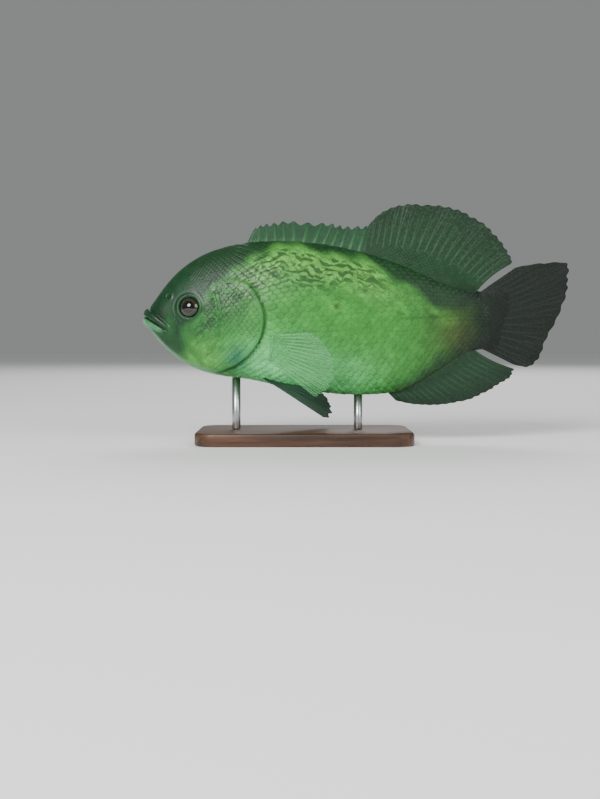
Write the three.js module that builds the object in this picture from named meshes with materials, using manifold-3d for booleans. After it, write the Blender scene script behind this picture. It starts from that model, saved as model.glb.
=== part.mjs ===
// An oscar cichlid, life size, swimming level on a display stand of a flat base and two short rods.
// Millimetres, +Z up. The fish faces -X, and its left side faces -Y.
// The origin is the centre of the base's underside.
import * as THREE from "three";
import { mergeVertices } from "three/addons/utils/BufferGeometryUtils.js";
import Module from "manifold-3d";

const wasm = await Module();
wasm.setup();

// Driving sizes of the fish. s runs back from the tip of the lower jaw, h up from the body's axis.
const BODY_LENGTH = 246;
const AXIS_HEIGHT = 86;
const SNOUT_X = -112;
const TAIL_SWING = 9;
const SWING_START = 150;
const TOTAL_LENGTH = 300;
const GAP = 0.3;
const AROUND = 28;
const ALONG = 40;

// Outline of the body without its fins, each point [s, h].
const BACK_LINE = [[0, 1], [3, 8], [8, 15], [15, 24.5], [25, 35], [42, 46], [63, 53], [90, 55.5],
  [120, 54], [150, 48.5], [180, 39], [207, 28], [228, 21.5], [246, 20]];
const BELLY_LINE = [[0, 1], [3, -6], [8, -12.5], [16, -21], [31, -32], [49, -38.5], [74, -42],
  [103, -48], [141, -52.5], [168, -52], [185, -48], [205, -36.5], [226, -23.5], [246, -20]];
const HALF_WIDTH = [[0, 0], [3, 7], [9, 11], [20, 14.5], [36, 18.5], [55, 22.5], [76, 24], [105, 23.5],
  [140, 19.5], [175, 13.5], [205, 8.5], [228, 5.8], [246, 4.2]];
const WIDEST_HEIGHT = [[0, 1], [10, -1], [30, -3], [60, -6], [100, -8], [160, -4], [220, 0], [246, 0]];
const BACK_SHARPNESS = 1.18;
const BELLY_SHARPNESS = 0.86;
const TAIL_ROUNDING = 9;
const TAIL_FULLNESS = 0.25;

// Cuts that part the body into the pieces a person would name, and how far the cutting prisms reach.
const GAPE_TIP = [-6, 6.2];
const MOUTH_CORNER = [16.5, -7.5];
const JAW_HINGE = [27, -19];
const JAW_BACK = [33, -44];
const GAPE_WIDTH = 0.9;
const TAIL_STALK_START = 205;
const HEAD_CUT = { top: 67, bottom: 44 };
const PAST = { ahead: -30, behind: 280, above: 80, below: -70, beside: 90 };

// Lips, eyes, nostrils and gill covers.
const LIP = {
  radius: 2.9, cornerRadius: 1.5, rise: 2.7, steps: 16, sides: 6, sink: 0.7, start: 1.2, reach: 17.5,
  front: 0.3, taper: 1.5,
};
const EYE = { s: 32.5, h: 8.5, radius: 7.3, depth: 4.6, sink: 2.4 };
const NOSTRIL = { s: 18, h: 16, radius: 1.3, floor: 0.8, depth: 1.6 };
const GILL = {
  proud: 0.9, thickness: 2.2, overlap: 2.5, middle: [66, -3], clearance: 0.48, inner: 3, frontSteps: 12,
  rearSteps: 24,
};
const GILL_FRONT = [[59, 29], [52.5, 14], [50, -4], [46, -20], [40, -31]];
const GILL_REAR = [[60, 30], [73, 25], [82, 12], [84.5, -3], [79, -19], [66, -31], [50, -37.5]];

// Fins. Tips are outline points [s, h] from the leading ray to the last one.
const MEMBRANE = 0.32;
const RAY_SHARE = 0.24;
const RAY_FADE = 0.65;
const EDGE_BEAD = 0.1;
const THICK_ROOT = 0.55;
const DEEP_SCALLOP = 0.1;
const ROOT_SINK = 4;
const FIN_WAVE = { depth: 1.6, length: 160 };
const SPINY_DORSAL = {
  rays: 13, rows: 3, base: [70, 151], ridge: 0.6, root: 1.5, edge: 0.28, bow: 0, lean: 0, scallop: 0.16,
  tips: [[77, 64.5], [86, 67.5], [102, 69], [127, 67.5], [142, 65.5], [156.2, 65.5]],
};
const SOFT_DORSAL = {
  rays: 15, rows: 4, base: [151.6, 231], ridge: 0.42, root: 1.5, edge: 0.2, bow: 3, lean: -2.5,
  scallop: 0.02,
  tips: [[157, 66.5], [166, 75], [178, 80], [192, 81], [210, 80], [224, 76], [237, 68.5], [248, 59],
    [256, 48], [258.5, 40]],
};
const ANAL_FIN = {
  rays: 12, rows: 4, base: [168, 229], ridge: 0.42, root: 1.5, edge: 0.2, bow: 2.5, lean: -5, scallop: 0.03,
  tips: [[177, -57], [190, -59.5], [205, -60.2], [220, -58.5], [235, -54], [247, -47.5], [257, -41],
    [260.5, -34.5]],
};
const CAUDAL_FIN = {
  rays: 13, rows: 4, baseS: 234, baseHalf: 18.5, baseBulge: 5, ridge: 0.5, root: 3.1, edge: 0.2, bow: 0,
  lean: 0, scallop: 0.02,
  tips: [[262, 37.5], [281, 40.5], [299, 40.2], [300, 30], [299, 19], [292, 2], [284, -14], [279.5, -27],
    [271, -33], [261, -31.5]],
};
const PECTORAL_FIN = {
  rays: 9, rows: 3, rootS: 84, rootTop: -11, rootBottom: -25, sink: 2.5, ridge: 0.3, root: 0.75, edge: 0.2,
  scallop: 0.03, length: 56, shortest: 0.5, fanTop: 4, fanBottom: -36, flare: 24, cup: 5,
  lowest: 0.22, spread: 0.72, roundness: 0.8,
};
const PELVIC_FIN = {
  rays: 6, rows: 3, rootS: 80, rootReach: 10, sink: 5, ridge: 0.35, root: 0.9, edge: 0.2, scallop: 0.04,
  offset: 11, inset: 4, length: 57, shortest: 0.5, droopLead: 33, droopInner: 12, splay: 6,
};

// The stand.
const BASE = { length: 150, width: 84, height: 9, corner: 14, bevel: 1.2 };
const ROD_RADIUS = 3;
const ROD_FRONT_S = 64;
const ROD_REAR_S = 150;
const ROD_SIDES = 20;
const ROD_SINK = 8;

// A smooth curve through [s, value] pairs. It runs on the square root of s, which rounds off the snout.
function profile(points) {
  const q = points.map(([s]) => Math.sqrt(s));
  const v = points.map(([, value]) => value);
  const last = q.length - 1;
  const slope = v.map((_, i) => {
    const a = Math.max(0, i - 1);
    const b = Math.min(last, i + 1);
    return (v[b] - v[a]) / (q[b] - q[a]);
  });
  return (s) => {
    const x = Math.sqrt(THREE.MathUtils.clamp(s, points[0][0], points[last][0]));
    let i = 0;
    while (i < last - 1 && x > q[i + 1]) i += 1;
    const step = q[i + 1] - q[i];
    const t = (x - q[i]) / step;
    const t2 = t * t;
    const t3 = t2 * t;
    return v[i] * (2 * t3 - 3 * t2 + 1) + slope[i] * step * (t3 - 2 * t2 + t)
      + v[i + 1] * (3 * t2 - 2 * t3) + slope[i + 1] * step * (t3 - t2);
  };
}
const backAt = profile(BACK_LINE);
const bellyAt = profile(BELLY_LINE);
const widthAt = profile(HALF_WIDTH);
const widestAt = profile(WIDEST_HEIGHT);

// The curve of the body: the tail swings gently away from the midline.
function swing(s) {
  const t = Math.max(0, (s - SWING_START) / (TOTAL_LENGTH - SWING_START));
  return TAIL_SWING * t * t;
}

// Fish place (s, side, h) as a point of the part's frame, where side is positive on the right.
function place(s, side, h) {
  return new THREE.Vector3(SNOUT_X + s, side + swing(s), AXIS_HEIGHT + h);
}

// A point of the skin at s, at an angle round the body from the back (0) over the right side to the belly.
function skinAt(s, angle) {
  const c = Math.cos(angle);
  const n = Math.sin(angle);
  const middle = widestAt(s);
  const end = Math.max(0, (s - (BODY_LENGTH - TAIL_ROUNDING)) / TAIL_ROUNDING);
  const taper = Math.sqrt(Math.max(0, 1 - end * end));
  const reach = c > 0 ? backAt(s) - middle : middle - bellyAt(s);
  const sharpness = c > 0 ? BACK_SHARPNESS : BELLY_SHARPNESS;
  const side = widthAt(s) * Math.sign(n) * Math.abs(n) ** sharpness * taper;
  const drawnIn = THREE.MathUtils.lerp(Math.sqrt(taper), taper, TAIL_FULLNESS);
  return [side, middle + reach * c * drawnIn];
}

// Half the body's width at a place seen from the side.
function sideAt(s, h) {
  const middle = widestAt(s);
  const reach = h > middle ? backAt(s) - middle : middle - bellyAt(s);
  const c = THREE.MathUtils.clamp((h - middle) / reach, -1, 1);
  const sharpness = h > middle ? BACK_SHARPNESS : BELLY_SHARPNESS;
  return widthAt(s) * Math.sqrt(1 - c * c) ** sharpness;
}

// Turns a closed three.js geometry into a solid. One that its shaping turned inside out is turned back.
function solidOf(geometry) {
  const bare = new THREE.BufferGeometry().setAttribute("position", geometry.getAttribute("position").clone());
  if (geometry.index) bare.setIndex(geometry.index.clone());
  const merged = mergeVertices(bare, 1e-4);
  const made = (triVerts) => new wasm.Manifold(new wasm.Mesh({
    numProp: 3,
    vertProperties: new Float32Array(merged.attributes.position.array),
    triVerts: new Uint32Array(triVerts),
  }));
  const solid = made(merged.index.array);
  return solid.volume() > 0 ? solid : made([...merged.index.array].reverse());
}

// Turns a solid back into a geometry, keeping only its largest closed surface.
function geometryOf(solid) {
  const largest = solid.decompose().reduce((a, b) => (a.volume() > b.volume() ? a : b));
  const mesh = largest.getMesh();
  const count = mesh.vertProperties.length / mesh.numProp;
  const positions = new Float32Array(count * 3);
  for (let i = 0; i < count; i += 1) {
    for (let k = 0; k < 3; k += 1) positions[i * 3 + k] = mesh.vertProperties[i * mesh.numProp + k];
  }
  const geometry = new THREE.BufferGeometry()
    .setAttribute("position", new THREE.BufferAttribute(positions, 3))
    .setIndex(new THREE.BufferAttribute(new Uint32Array(mesh.triVerts), 1));
  geometry.computeVertexNormals();
  return geometry;
}

// Moves every corner of a geometry to the point that a function gives for it.
function shaped(geometry, at) {
  const p = geometry.getAttribute("position");
  for (let i = 0; i < p.count; i += 1) {
    const to = at(new THREE.Vector3().fromBufferAttribute(p, i));
    p.setXYZ(i, to.x, to.y, to.z);
  }
  return geometry;
}

// The whole body as one smooth form, with its skin moved out by grow.
function bodySolid(grow) {
  const ball = new THREE.SphereGeometry(1, AROUND, ALONG);
  ball.deleteAttribute("normal");
  ball.deleteAttribute("uv");
  const body = mergeVertices(shaped(ball, (p) => {
    const polar = Math.acos(THREE.MathUtils.clamp(p.y, -1, 1));
    const s = BODY_LENGTH * (1 - Math.cos(polar)) / 2;
    const angle = -Math.atan2(p.z, p.x);
    if (polar < 1e-6 || polar > Math.PI - 1e-6) return place(s, 0, (backAt(s) + bellyAt(s)) / 2);
    const [side, h] = skinAt(s, angle);
    return place(s, side, h);
  }), 1e-4);
  body.computeVertexNormals();
  const normal = body.getAttribute("normal");
  const position = body.getAttribute("position");
  for (let i = 0; i < position.count; i += 1) {
    position.setXYZ(i, position.getX(i) + normal.getX(i) * grow, position.getY(i) + normal.getY(i) * grow,
      position.getZ(i) + normal.getZ(i) * grow);
  }
  return solidOf(body);
}

// A prism over an outline of [s, h] points, from one side of the fish to the other.
function prism(points, from = -PAST.beside, to = PAST.beside) {
  const shape = new THREE.Shape(points.map(([s, h]) => new THREE.Vector2(s, h)));
  const slab = new THREE.ExtrudeGeometry(shape, { depth: to - from, bevelEnabled: false });
  return solidOf(shaped(slab, (p) => new THREE.Vector3(SNOUT_X + p.x, -(from + p.z), AXIS_HEIGHT + p.y)));
}

// Points of a smooth line through [s, h] points.
function smoothLine(points, steps) {
  const line = new THREE.SplineCurve(points.map(([s, h]) => new THREE.Vector2(s, h)));
  return line.getPoints(steps).map((p) => [p.x, p.y]);
}

// One lip: a tapered roll that follows the edge of the gape from one mouth corner to the other.
function lip(side) {
  const slope = new THREE.Vector2(MOUTH_CORNER[0] - GAPE_TIP[0], MOUTH_CORNER[1] - GAPE_TIP[1]).normalize();
  const across = new THREE.Vector2(-slope.y, slope.x).multiplyScalar(side * LIP.rise);
  const onFace = (t) => {
    const s = LIP.start + LIP.reach * (2 * t - 1) ** 2;
    const along = (s - GAPE_TIP[0]) / slope.x;
    const h = GAPE_TIP[1] + slope.y * along + across.y;
    const width = Math.max(0, sideAt(Math.max(0.6, s + across.x), h) - LIP.sink);
    const turn = THREE.MathUtils.smoothstep(Math.abs(2 * t - 1), 0, LIP.front);
    return place(s + across.x, Math.sign(t - 0.5) * width * turn, h);
  };
  const roll = new THREE.CylinderGeometry(1, 1, 1, LIP.sides, LIP.steps);
  const line = new THREE.CatmullRomCurve3(Array.from({ length: 13 }, (_, i) => onFace(i / 12)));
  const frames = line.computeFrenetFrames(LIP.steps, false);
  return solidOf(shaped(roll, (p) => {
    const t = p.y + 0.5;
    const i = Math.round(t * LIP.steps);
    const radius = THREE.MathUtils.lerp(LIP.radius, LIP.cornerRadius, Math.abs(2 * t - 1) ** LIP.taper);
    return line.getPoint(t)
      .addScaledVector(frames.normals[i], p.x * radius)
      .addScaledVector(frames.binormals[i], -p.z * radius);
  }));
}

// The outward direction of the skin at a place on the right side.
function skinNormal(s, h) {
  const at = (a, b) => place(a, sideAt(a, b), b);
  const along = at(s + 1, h).sub(at(s - 1, h));
  const up = at(s, h + 1).sub(at(s, h - 1));
  return up.cross(along).normalize();
}

// An eyeball, or with a margin its socket, on the right (1) or left (-1) side.
function eyeSolid(side, margin) {
  const out = skinNormal(EYE.s, EYE.h);
  const centre = place(EYE.s, sideAt(EYE.s, EYE.h), EYE.h).addScaledVector(out, -EYE.sink);
  const turn = new THREE.Quaternion().setFromUnitVectors(new THREE.Vector3(0, 1, 0), out);
  const ball = new THREE.SphereGeometry(1, 16, 10);
  const eye = shaped(ball, (p) => p
    .multiply(new THREE.Vector3(EYE.radius + margin, EYE.depth + margin, EYE.radius + margin))
    .applyQuaternion(turn).add(centre));
  return side > 0 ? solidOf(eye) : solidOf(eye).mirror([0, 1, 0]);
}

// The pit of one nostril.
function nostrilPit(side) {
  const out = skinNormal(NOSTRIL.s, NOSTRIL.h);
  const mouth = place(NOSTRIL.s, sideAt(NOSTRIL.s, NOSTRIL.h), NOSTRIL.h);
  const turn = new THREE.Quaternion().setFromUnitVectors(new THREE.Vector3(0, 1, 0), out);
  const pit = shaped(new THREE.CylinderGeometry(NOSTRIL.radius, NOSTRIL.floor, 2 * NOSTRIL.depth, 10),
    (p) => p.applyQuaternion(turn).add(mouth));
  return side > 0 ? solidOf(pit) : solidOf(pit).mirror([0, 1, 0]);
}

// A thin closed sheet. Its columns run with the fin rays, and each ray is a ridge on both faces.
function finSheet(fin, at) {
  const across = [0];
  const ridge = [0];
  for (let i = 0; i < fin.rays; i += 1) {
    const centre = (i + 0.5) / fin.rays;
    const foot = RAY_SHARE / fin.rays;
    across.push(centre - foot, centre, centre + foot);
    ridge.push(0, 1, 0);
    if (fin.scallop > DEEP_SCALLOP && i < fin.rays - 1) {
      across.push((i + 1) / fin.rays);
      ridge.push(-1);
    }
  }
  across.push(1);
  ridge.push(0);
  const columns = across.length - 1;
  const sheet = new THREE.BoxGeometry(1, 1, 1, columns, fin.rows, 1);
  const far = sheet.groups[5];
  const corners = sheet.index.array;
  for (let i = far.start; i < far.start + far.count; i += 6) {
    const [a, b, d, , c] = corners.slice(i, i + 6);
    corners.set([a, b, c, a, c, d], i);
  }
  return solidOf(shaped(sheet, (p) => {
    const column = Math.round((p.x + 0.5) * columns);
    const u = across[column];
    const reach = 1 - fin.scallop * (ridge[column] > 0 ? 0 : ridge[column] < 0 ? 1 : 0.5);
    const v = (p.y + 0.5) * reach;
    const e = 1e-3;
    const side = at(Math.min(1, u + e), v).sub(at(Math.max(0, u - e), v));
    const out = at(u, v + e).sub(at(u, v - e));
    const normal = side.cross(out).normalize();
    const onRay = Math.max(0, ridge[column]);
    const body = THREE.MathUtils.lerp(fin.root, MEMBRANE, THREE.MathUtils.smoothstep(v, 0, THICK_ROOT));
    const half = v > 0.999 * reach ? fin.edge + EDGE_BEAD * onRay
      : body + fin.ridge * (1 - RAY_FADE * v) * onRay;
    return at(u, v).addScaledVector(normal, Math.sign(p.z) * half);
  }));
}

// A fin of the midline: its rays stand along a base line and reach to the outline of their tips.
function midlineFin(fin, baseAt, upward) {
  const tips = new THREE.SplineCurve(fin.tips.map(([s, h]) => new THREE.Vector2(s, h)));
  return finSheet(fin, (u, v) => {
    const tip = tips.getPoint(THREE.MathUtils.clamp(u, 0, 1));
    const [s, h] = baseAt(u);
    const bow = 0.5 * fin.bow * u * Math.sin(Math.PI * THREE.MathUtils.clamp(v, 0, 1));
    const wave = FIN_WAVE.depth * Math.sin(2 * Math.PI * s / FIN_WAVE.length);
    const sway = (wave + fin.lean * u ** 3) * v * v;
    return place(s + (tip.x - s) * v - bow, sway, h + (tip.y - h) * v + bow * upward);
  });
}
function dorsalBase(fin) {
  return (u) => {
    const s = THREE.MathUtils.lerp(fin.base[0], fin.base[1], u);
    return [s, backAt(s) - ROOT_SINK];
  };
}
function analBase(u) {
  const s = THREE.MathUtils.lerp(ANAL_FIN.base[0], ANAL_FIN.base[1], u);
  return [s, bellyAt(s) + ROOT_SINK];
}
function caudalBase(u) {
  const h = CAUDAL_FIN.baseHalf * (1 - 2 * u);
  return [CAUDAL_FIN.baseS + CAUDAL_FIN.baseBulge * Math.cos(Math.PI * (u - 0.5)), h];
}

// A paired fin of the breast, on the right side: a fan that stands off the flank and cups towards it.
function pectoralFin() {
  const fin = PECTORAL_FIN;
  return finSheet(fin, (u, v) => {
    const h = THREE.MathUtils.lerp(fin.rootTop, fin.rootBottom, u);
    const pitch = THREE.MathUtils.degToRad(THREE.MathUtils.lerp(fin.fanTop, fin.fanBottom, u));
    const yaw = THREE.MathUtils.degToRad(fin.flare);
    const bulge = Math.sin(Math.PI * (fin.lowest + fin.spread * (1 - u))) ** fin.roundness;
    const reach = fin.length * THREE.MathUtils.lerp(fin.shortest, 1, bulge) * v;
    const side = sideAt(fin.rootS, h) - fin.sink + reach * Math.sin(yaw) - fin.cup * v * v;
    return place(fin.rootS + reach * Math.cos(pitch) * Math.cos(yaw), side, h + reach * Math.sin(pitch));
  });
}

// A pelvic fin of the right side: a fan under the belly that trails back and down from the breast.
function pelvicFin() {
  const fin = PELVIC_FIN;
  return finSheet(fin, (u, v) => {
    const s = fin.rootS + fin.rootReach * u;
    const droop = THREE.MathUtils.degToRad(THREE.MathUtils.lerp(fin.droopLead, fin.droopInner, u));
    const splay = Math.tan(THREE.MathUtils.degToRad(fin.splay));
    const reach = fin.length * THREE.MathUtils.lerp(fin.shortest, 1, Math.cos(Math.PI * 0.5 * u)) * v;
    const side = fin.offset - fin.inset * u + reach * splay;
    return place(s + reach * Math.cos(droop), side, bellyAt(s) + fin.sink - reach * Math.sin(droop));
  });
}

// The stand's parts.
function standBase() {
  const { length, width, height, corner, bevel } = BASE;
  const x = length / 2 - bevel;
  const y = width / 2 - bevel;
  const r = corner - bevel;
  const plan = new THREE.Shape();
  plan.moveTo(-x + r, -y);
  plan.lineTo(x - r, -y);
  plan.absarc(x - r, -y + r, r, -Math.PI / 2, 0);
  plan.lineTo(x, y - r);
  plan.absarc(x - r, y - r, r, 0, Math.PI / 2);
  plan.lineTo(-x + r, y);
  plan.absarc(-x + r, y - r, r, Math.PI / 2, Math.PI);
  plan.lineTo(-x, -y + r);
  plan.absarc(-x + r, -y + r, r, Math.PI, 1.5 * Math.PI);
  const plate = new THREE.ExtrudeGeometry(plan, {
    depth: height - 2 * bevel, bevelThickness: bevel, bevelSize: bevel, bevelSegments: 1, curveSegments: 4,
  });
  return solidOf(plate.translate(0, 0, bevel));
}
function rod(s) {
  const top = AXIS_HEIGHT + bellyAt(s) + ROD_SINK;
  const bottom = BASE.height + GAP;
  const bar = new THREE.CylinderGeometry(ROD_RADIUS, ROD_RADIUS, top - bottom, ROD_SIDES);
  bar.rotateX(Math.PI / 2);
  bar.translate(SNOUT_X + s, 0, (top + bottom) / 2);
  return solidOf(bar);
}

// The finishes, with the colours that the fish shows.
const finish = {
  head: new THREE.MeshStandardMaterial({ color: 0x245230, roughness: 0.4, metalness: 0 }),
  flank: new THREE.MeshStandardMaterial({ color: 0x58a146, roughness: 0.38, metalness: 0 }),
  fin: new THREE.MeshStandardMaterial({ color: 0x1b3f28, roughness: 0.5, metalness: 0 }),
  clearFin: new THREE.MeshStandardMaterial({ color: 0x62b06c, roughness: 0.4, metalness: 0 }),
  eye: new THREE.MeshStandardMaterial({ color: 0x1c1a14, roughness: 0.08, metalness: 0 }),
  wood: new THREE.MeshStandardMaterial({ color: 0x3a2a20, roughness: 0.45, metalness: 0 }),
  steel: new THREE.MeshStandardMaterial({ color: 0xa8adb0, roughness: 0.3, metalness: 1 }),
};
const model = new THREE.Group();
function addNode(name, solid, material) {
  const mesh = new THREE.Mesh(geometryOf(solid), material);
  mesh.name = name;
  model.add(mesh);
}

// Outlines of the prisms that part the body.
const gillRear = smoothLine(GILL_REAR, GILL.rearSteps);
const headRear = [[HEAD_CUT.top, PAST.above], ...gillRear, [HEAD_CUT.bottom, PAST.below]];
const headOutline = [[PAST.ahead, PAST.above], ...headRear, [PAST.ahead, PAST.below]];
const trunkOutline = [[TAIL_STALK_START, PAST.above], ...headRear.map(([s, h]) => [s + GAP, h]),
  [TAIL_STALK_START, PAST.below]];
const stalkOutline = [[TAIL_STALK_START + GAP, PAST.above], [TAIL_STALK_START + GAP, PAST.below],
  [PAST.behind, PAST.below], [PAST.behind, PAST.above]];
const jawOutline = [GAPE_TIP, MOUTH_CORNER, JAW_HINGE, JAW_BACK, [PAST.ahead, JAW_BACK[1]],
  [PAST.ahead, GAPE_TIP[1]]];
const jawClear = [[PAST.ahead, GAPE_TIP[1] + GAPE_WIDTH], [GAPE_TIP[0], GAPE_TIP[1] + GAPE_WIDTH],
  [MOUTH_CORNER[0] + GAPE_WIDTH, MOUTH_CORNER[1] + GAPE_WIDTH / 2], [JAW_HINGE[0] + GAP, JAW_HINGE[1]],
  [JAW_BACK[0] + GAP, JAW_BACK[1]], [PAST.ahead, PAST.below]];
const gillOutline = [...smoothLine(GILL_FRONT, GILL.frontSteps).reverse(),
  ...gillRear.map(([s, h]) => [s + GILL.overlap, h])];

// The body, with its lips, eye sockets and nostrils.
const clearOfBody = bodySolid(GAP);
const whole = bodySolid(0).add(lip(1)).add(lip(-1))
  .subtract(eyeSolid(1, GAP)).subtract(eyeSolid(-1, GAP))
  .subtract(nostrilPit(1)).subtract(nostrilPit(-1));

// The gill covers, and the beds that they lie in.
const gillSkin = bodySolid(GILL.proud);
const gillFloor = bodySolid(GILL.proud - GILL.thickness);
const gillSeat = bodySolid(GILL.proud - GILL.thickness - GAP);
const bedOutline = gillOutline.map(([s, h]) => {
  const ahead = s - GILL.middle[0];
  const above = h - GILL.middle[1];
  const grow = 1 + GILL.clearance / Math.hypot(ahead, above);
  return [GILL.middle[0] + ahead * grow, GILL.middle[1] + above * grow];
});
const beds = prism(bedOutline).subtract(gillSeat);

// The pieces of the body.
addNode("head", whole.intersect(prism(headOutline)).subtract(prism(jawClear)).subtract(beds), finish.head);
addNode("lower_jaw", whole.intersect(prism(jawOutline)), finish.head);
addNode("trunk", whole.intersect(prism(trunkOutline)).subtract(beds), finish.flank);
addNode("tail_stalk", whole.intersect(prism(stalkOutline)), finish.flank);
for (const [word, side] of [["right", 1], ["left", -1]]) {
  const near = side > 0 ? -PAST.beside : GILL.inner;
  const half = prism(gillOutline, near, near + PAST.beside - GILL.inner);
  addNode(`gill_cover_${word}`, gillSkin.intersect(half).subtract(gillFloor), finish.flank);
  addNode(`eye_${word}`, eyeSolid(side, 0), finish.eye);
}

// The fins, each cut off at the skin.
for (const [name, fin, baseAt, upward] of [
  ["dorsal_fin_spiny", SPINY_DORSAL, dorsalBase(SPINY_DORSAL), 1],
  ["dorsal_fin_soft", SOFT_DORSAL, dorsalBase(SOFT_DORSAL), 1],
  ["caudal_fin", CAUDAL_FIN, caudalBase, 1],
  ["anal_fin", ANAL_FIN, analBase, -1],
]) addNode(name, midlineFin(fin, baseAt, upward).subtract(clearOfBody), finish.fin);
const pectoral = pectoralFin().subtract(clearOfBody);
const pelvic = pelvicFin().subtract(clearOfBody);
addNode("pectoral_fin_right", pectoral, finish.clearFin);
addNode("pectoral_fin_left", pectoral.mirror([0, 1, 0]), finish.clearFin);
addNode("pelvic_fin_right", pelvic, finish.fin);
addNode("pelvic_fin_left", pelvic.mirror([0, 1, 0]), finish.fin);

// The stand.
addNode("stand_base", standBase(), finish.wood);
addNode("stand_rod_front", rod(ROD_FRONT_S).subtract(clearOfBody), finish.steel);
addNode("stand_rod_rear", rod(ROD_REAR_S).subtract(clearOfBody), finish.steel);

export default model;
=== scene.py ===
"""An oscar cichlid, life size, held over a walnut base by two steel rods.

Blender's unit is the metre. Sizes here are in millimetres, and MM turns them into metres.
"""
import math

import bmesh
import bpy
import numpy as np
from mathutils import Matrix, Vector


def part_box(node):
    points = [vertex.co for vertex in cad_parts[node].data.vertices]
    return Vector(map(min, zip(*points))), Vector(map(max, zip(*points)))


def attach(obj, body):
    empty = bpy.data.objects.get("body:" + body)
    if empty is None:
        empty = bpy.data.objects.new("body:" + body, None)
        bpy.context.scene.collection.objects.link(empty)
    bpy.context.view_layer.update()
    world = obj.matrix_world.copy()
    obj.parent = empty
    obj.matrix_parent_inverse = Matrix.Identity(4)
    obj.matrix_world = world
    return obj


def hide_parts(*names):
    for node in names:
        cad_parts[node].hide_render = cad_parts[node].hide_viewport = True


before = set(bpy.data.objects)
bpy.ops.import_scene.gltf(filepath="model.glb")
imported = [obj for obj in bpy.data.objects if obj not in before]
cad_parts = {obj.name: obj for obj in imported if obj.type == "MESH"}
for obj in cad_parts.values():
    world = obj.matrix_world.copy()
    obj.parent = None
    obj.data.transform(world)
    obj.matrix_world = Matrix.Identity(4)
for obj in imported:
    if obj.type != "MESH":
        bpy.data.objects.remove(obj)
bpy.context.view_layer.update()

MM = 0.001

# The body under the scales: tough, slimy skin over muscle, one closed surface from the lips to the tail root.
# It grew in one piece, and the lips, mouth line, nostrils, eye rims and gill edges are folds of it.
BODY_LENGTH = 246
TOTAL_LENGTH = 300
TAIL_SWING = 9
SWING_START = 150
# The plain body, as pairs of s (distance back from the lower lip) and a height over its axis or a half width.
BACK_LINE = [(0, 1), (3, 8), (8, 15), (15, 24.5), (25, 35), (42, 46), (63, 53), (90, 55.5),
             (120, 54), (150, 48.5), (180, 39), (207, 28), (228, 21.5), (246, 20)]
BELLY_LINE = [(0, 1), (3, -6), (8, -12.5), (16, -21), (31, -32), (49, -38.5), (74, -42),
              (103, -48), (141, -52.5), (168, -52), (185, -48), (205, -36.5), (226, -23.5), (246, -20)]
HALF_WIDTH = [(0, 0), (3, 7), (9, 11), (20, 14.5), (36, 18.5), (55, 22.5), (76, 24), (105, 23.5),
              (140, 19.5), (175, 13.5), (205, 8.5), (228, 5.8), (246, 4.2)]
WIDEST_HEIGHT = [(0, 1), (10, -1), (30, -3), (60, -6), (100, -8), (160, -4), (220, 0), (246, 0)]
# A cross-section is an oval. Over 1 it comes to an edge, as the back does, and under 1 it is blunter.
BACK_SHARPNESS = 1.18
BELLY_SHARPNESS = 0.86
# The end is rounded off over TAIL_ROUNDING. All but TAIL_SLIMMING of its height shrinks later than its width.
TAIL_ROUNDING = 9
TAIL_SLIMMING = 0.25
SNOUT_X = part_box("tail_stalk")[1].x / MM - BODY_LENGTH
AXIS_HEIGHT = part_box("trunk")[1].z / MM - max(h for _, h in BACK_LINE)
# Steps over which the body's directions are measured: along it in millimetres, and round it in radians.
# The margin keeps them off its ends, and NO_LENGTH keeps a division from failing.
STEP_ALONG = 0.3
STEP_ROUND = 0.02
END_MARGIN = 0.01
NO_LENGTH = 1e-12


def profile(points):
    """A smooth curve through (s, value) pairs. It runs on the square root of s, to round off the snout."""
    knots = np.sqrt([s for s, _ in points])
    values = np.array([value for _, value in points], float)
    after = np.minimum(np.arange(len(values)) + 1, len(values) - 1)
    before = np.maximum(np.arange(len(values)) - 1, 0)
    slopes = (values[after] - values[before]) / (knots[after] - knots[before])

    def at(s):
        x = np.sqrt(np.clip(s, points[0][0], points[-1][0]))
        i = np.clip(np.searchsorted(knots, x) - 1, 0, len(knots) - 2)
        step = knots[i + 1] - knots[i]
        t = (x - knots[i]) / step
        return (values[i] * (2 * t**3 - 3 * t**2 + 1) + slopes[i] * step * (t**3 - 2 * t**2 + t)
                + values[i + 1] * (3 * t**2 - 2 * t**3) + slopes[i + 1] * step * (t**3 - t**2))
    return at


back_at = profile(BACK_LINE)
belly_at = profile(BELLY_LINE)
width_at = profile(HALF_WIDTH)
widest_at = profile(WIDEST_HEIGHT)


def place(s, side, h):
    """Turns s (back from the lower lip), side (right is positive) and h (up from the axis) into metres."""
    t = np.maximum(0, (s - SWING_START) / (TOTAL_LENGTH - SWING_START))
    swung = side + TAIL_SWING * t * t
    return np.stack(np.broadcast_arrays(SNOUT_X + s, swung, AXIS_HEIGHT + h), -1) * MM


def outline_at(s, angle):
    """Side and h of the plain body, at an angle round it from the back (0) over the right to the belly."""
    upward = np.cos(angle)
    sideways = np.sin(angle)
    middle = widest_at(s)
    end = np.maximum(0, (s - (BODY_LENGTH - TAIL_ROUNDING)) / TAIL_ROUNDING)
    taper = np.sqrt(np.maximum(0, 1 - end * end))
    reach = np.where(upward > 0, back_at(s) - middle, middle - belly_at(s))
    sharpness = np.where(upward > 0, BACK_SHARPNESS, BELLY_SHARPNESS)
    side = width_at(s) * np.sign(sideways) * np.abs(sideways) ** sharpness * taper
    slimmed = TAIL_SLIMMING * taper + (1 - TAIL_SLIMMING) * np.sqrt(taper)
    return side, middle + reach * upward * slimmed


def unit(vectors):
    """The vectors, each brought to a length of one."""
    return vectors / np.maximum(np.linalg.norm(vectors, axis=-1, keepdims=True), NO_LENGTH)


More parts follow.
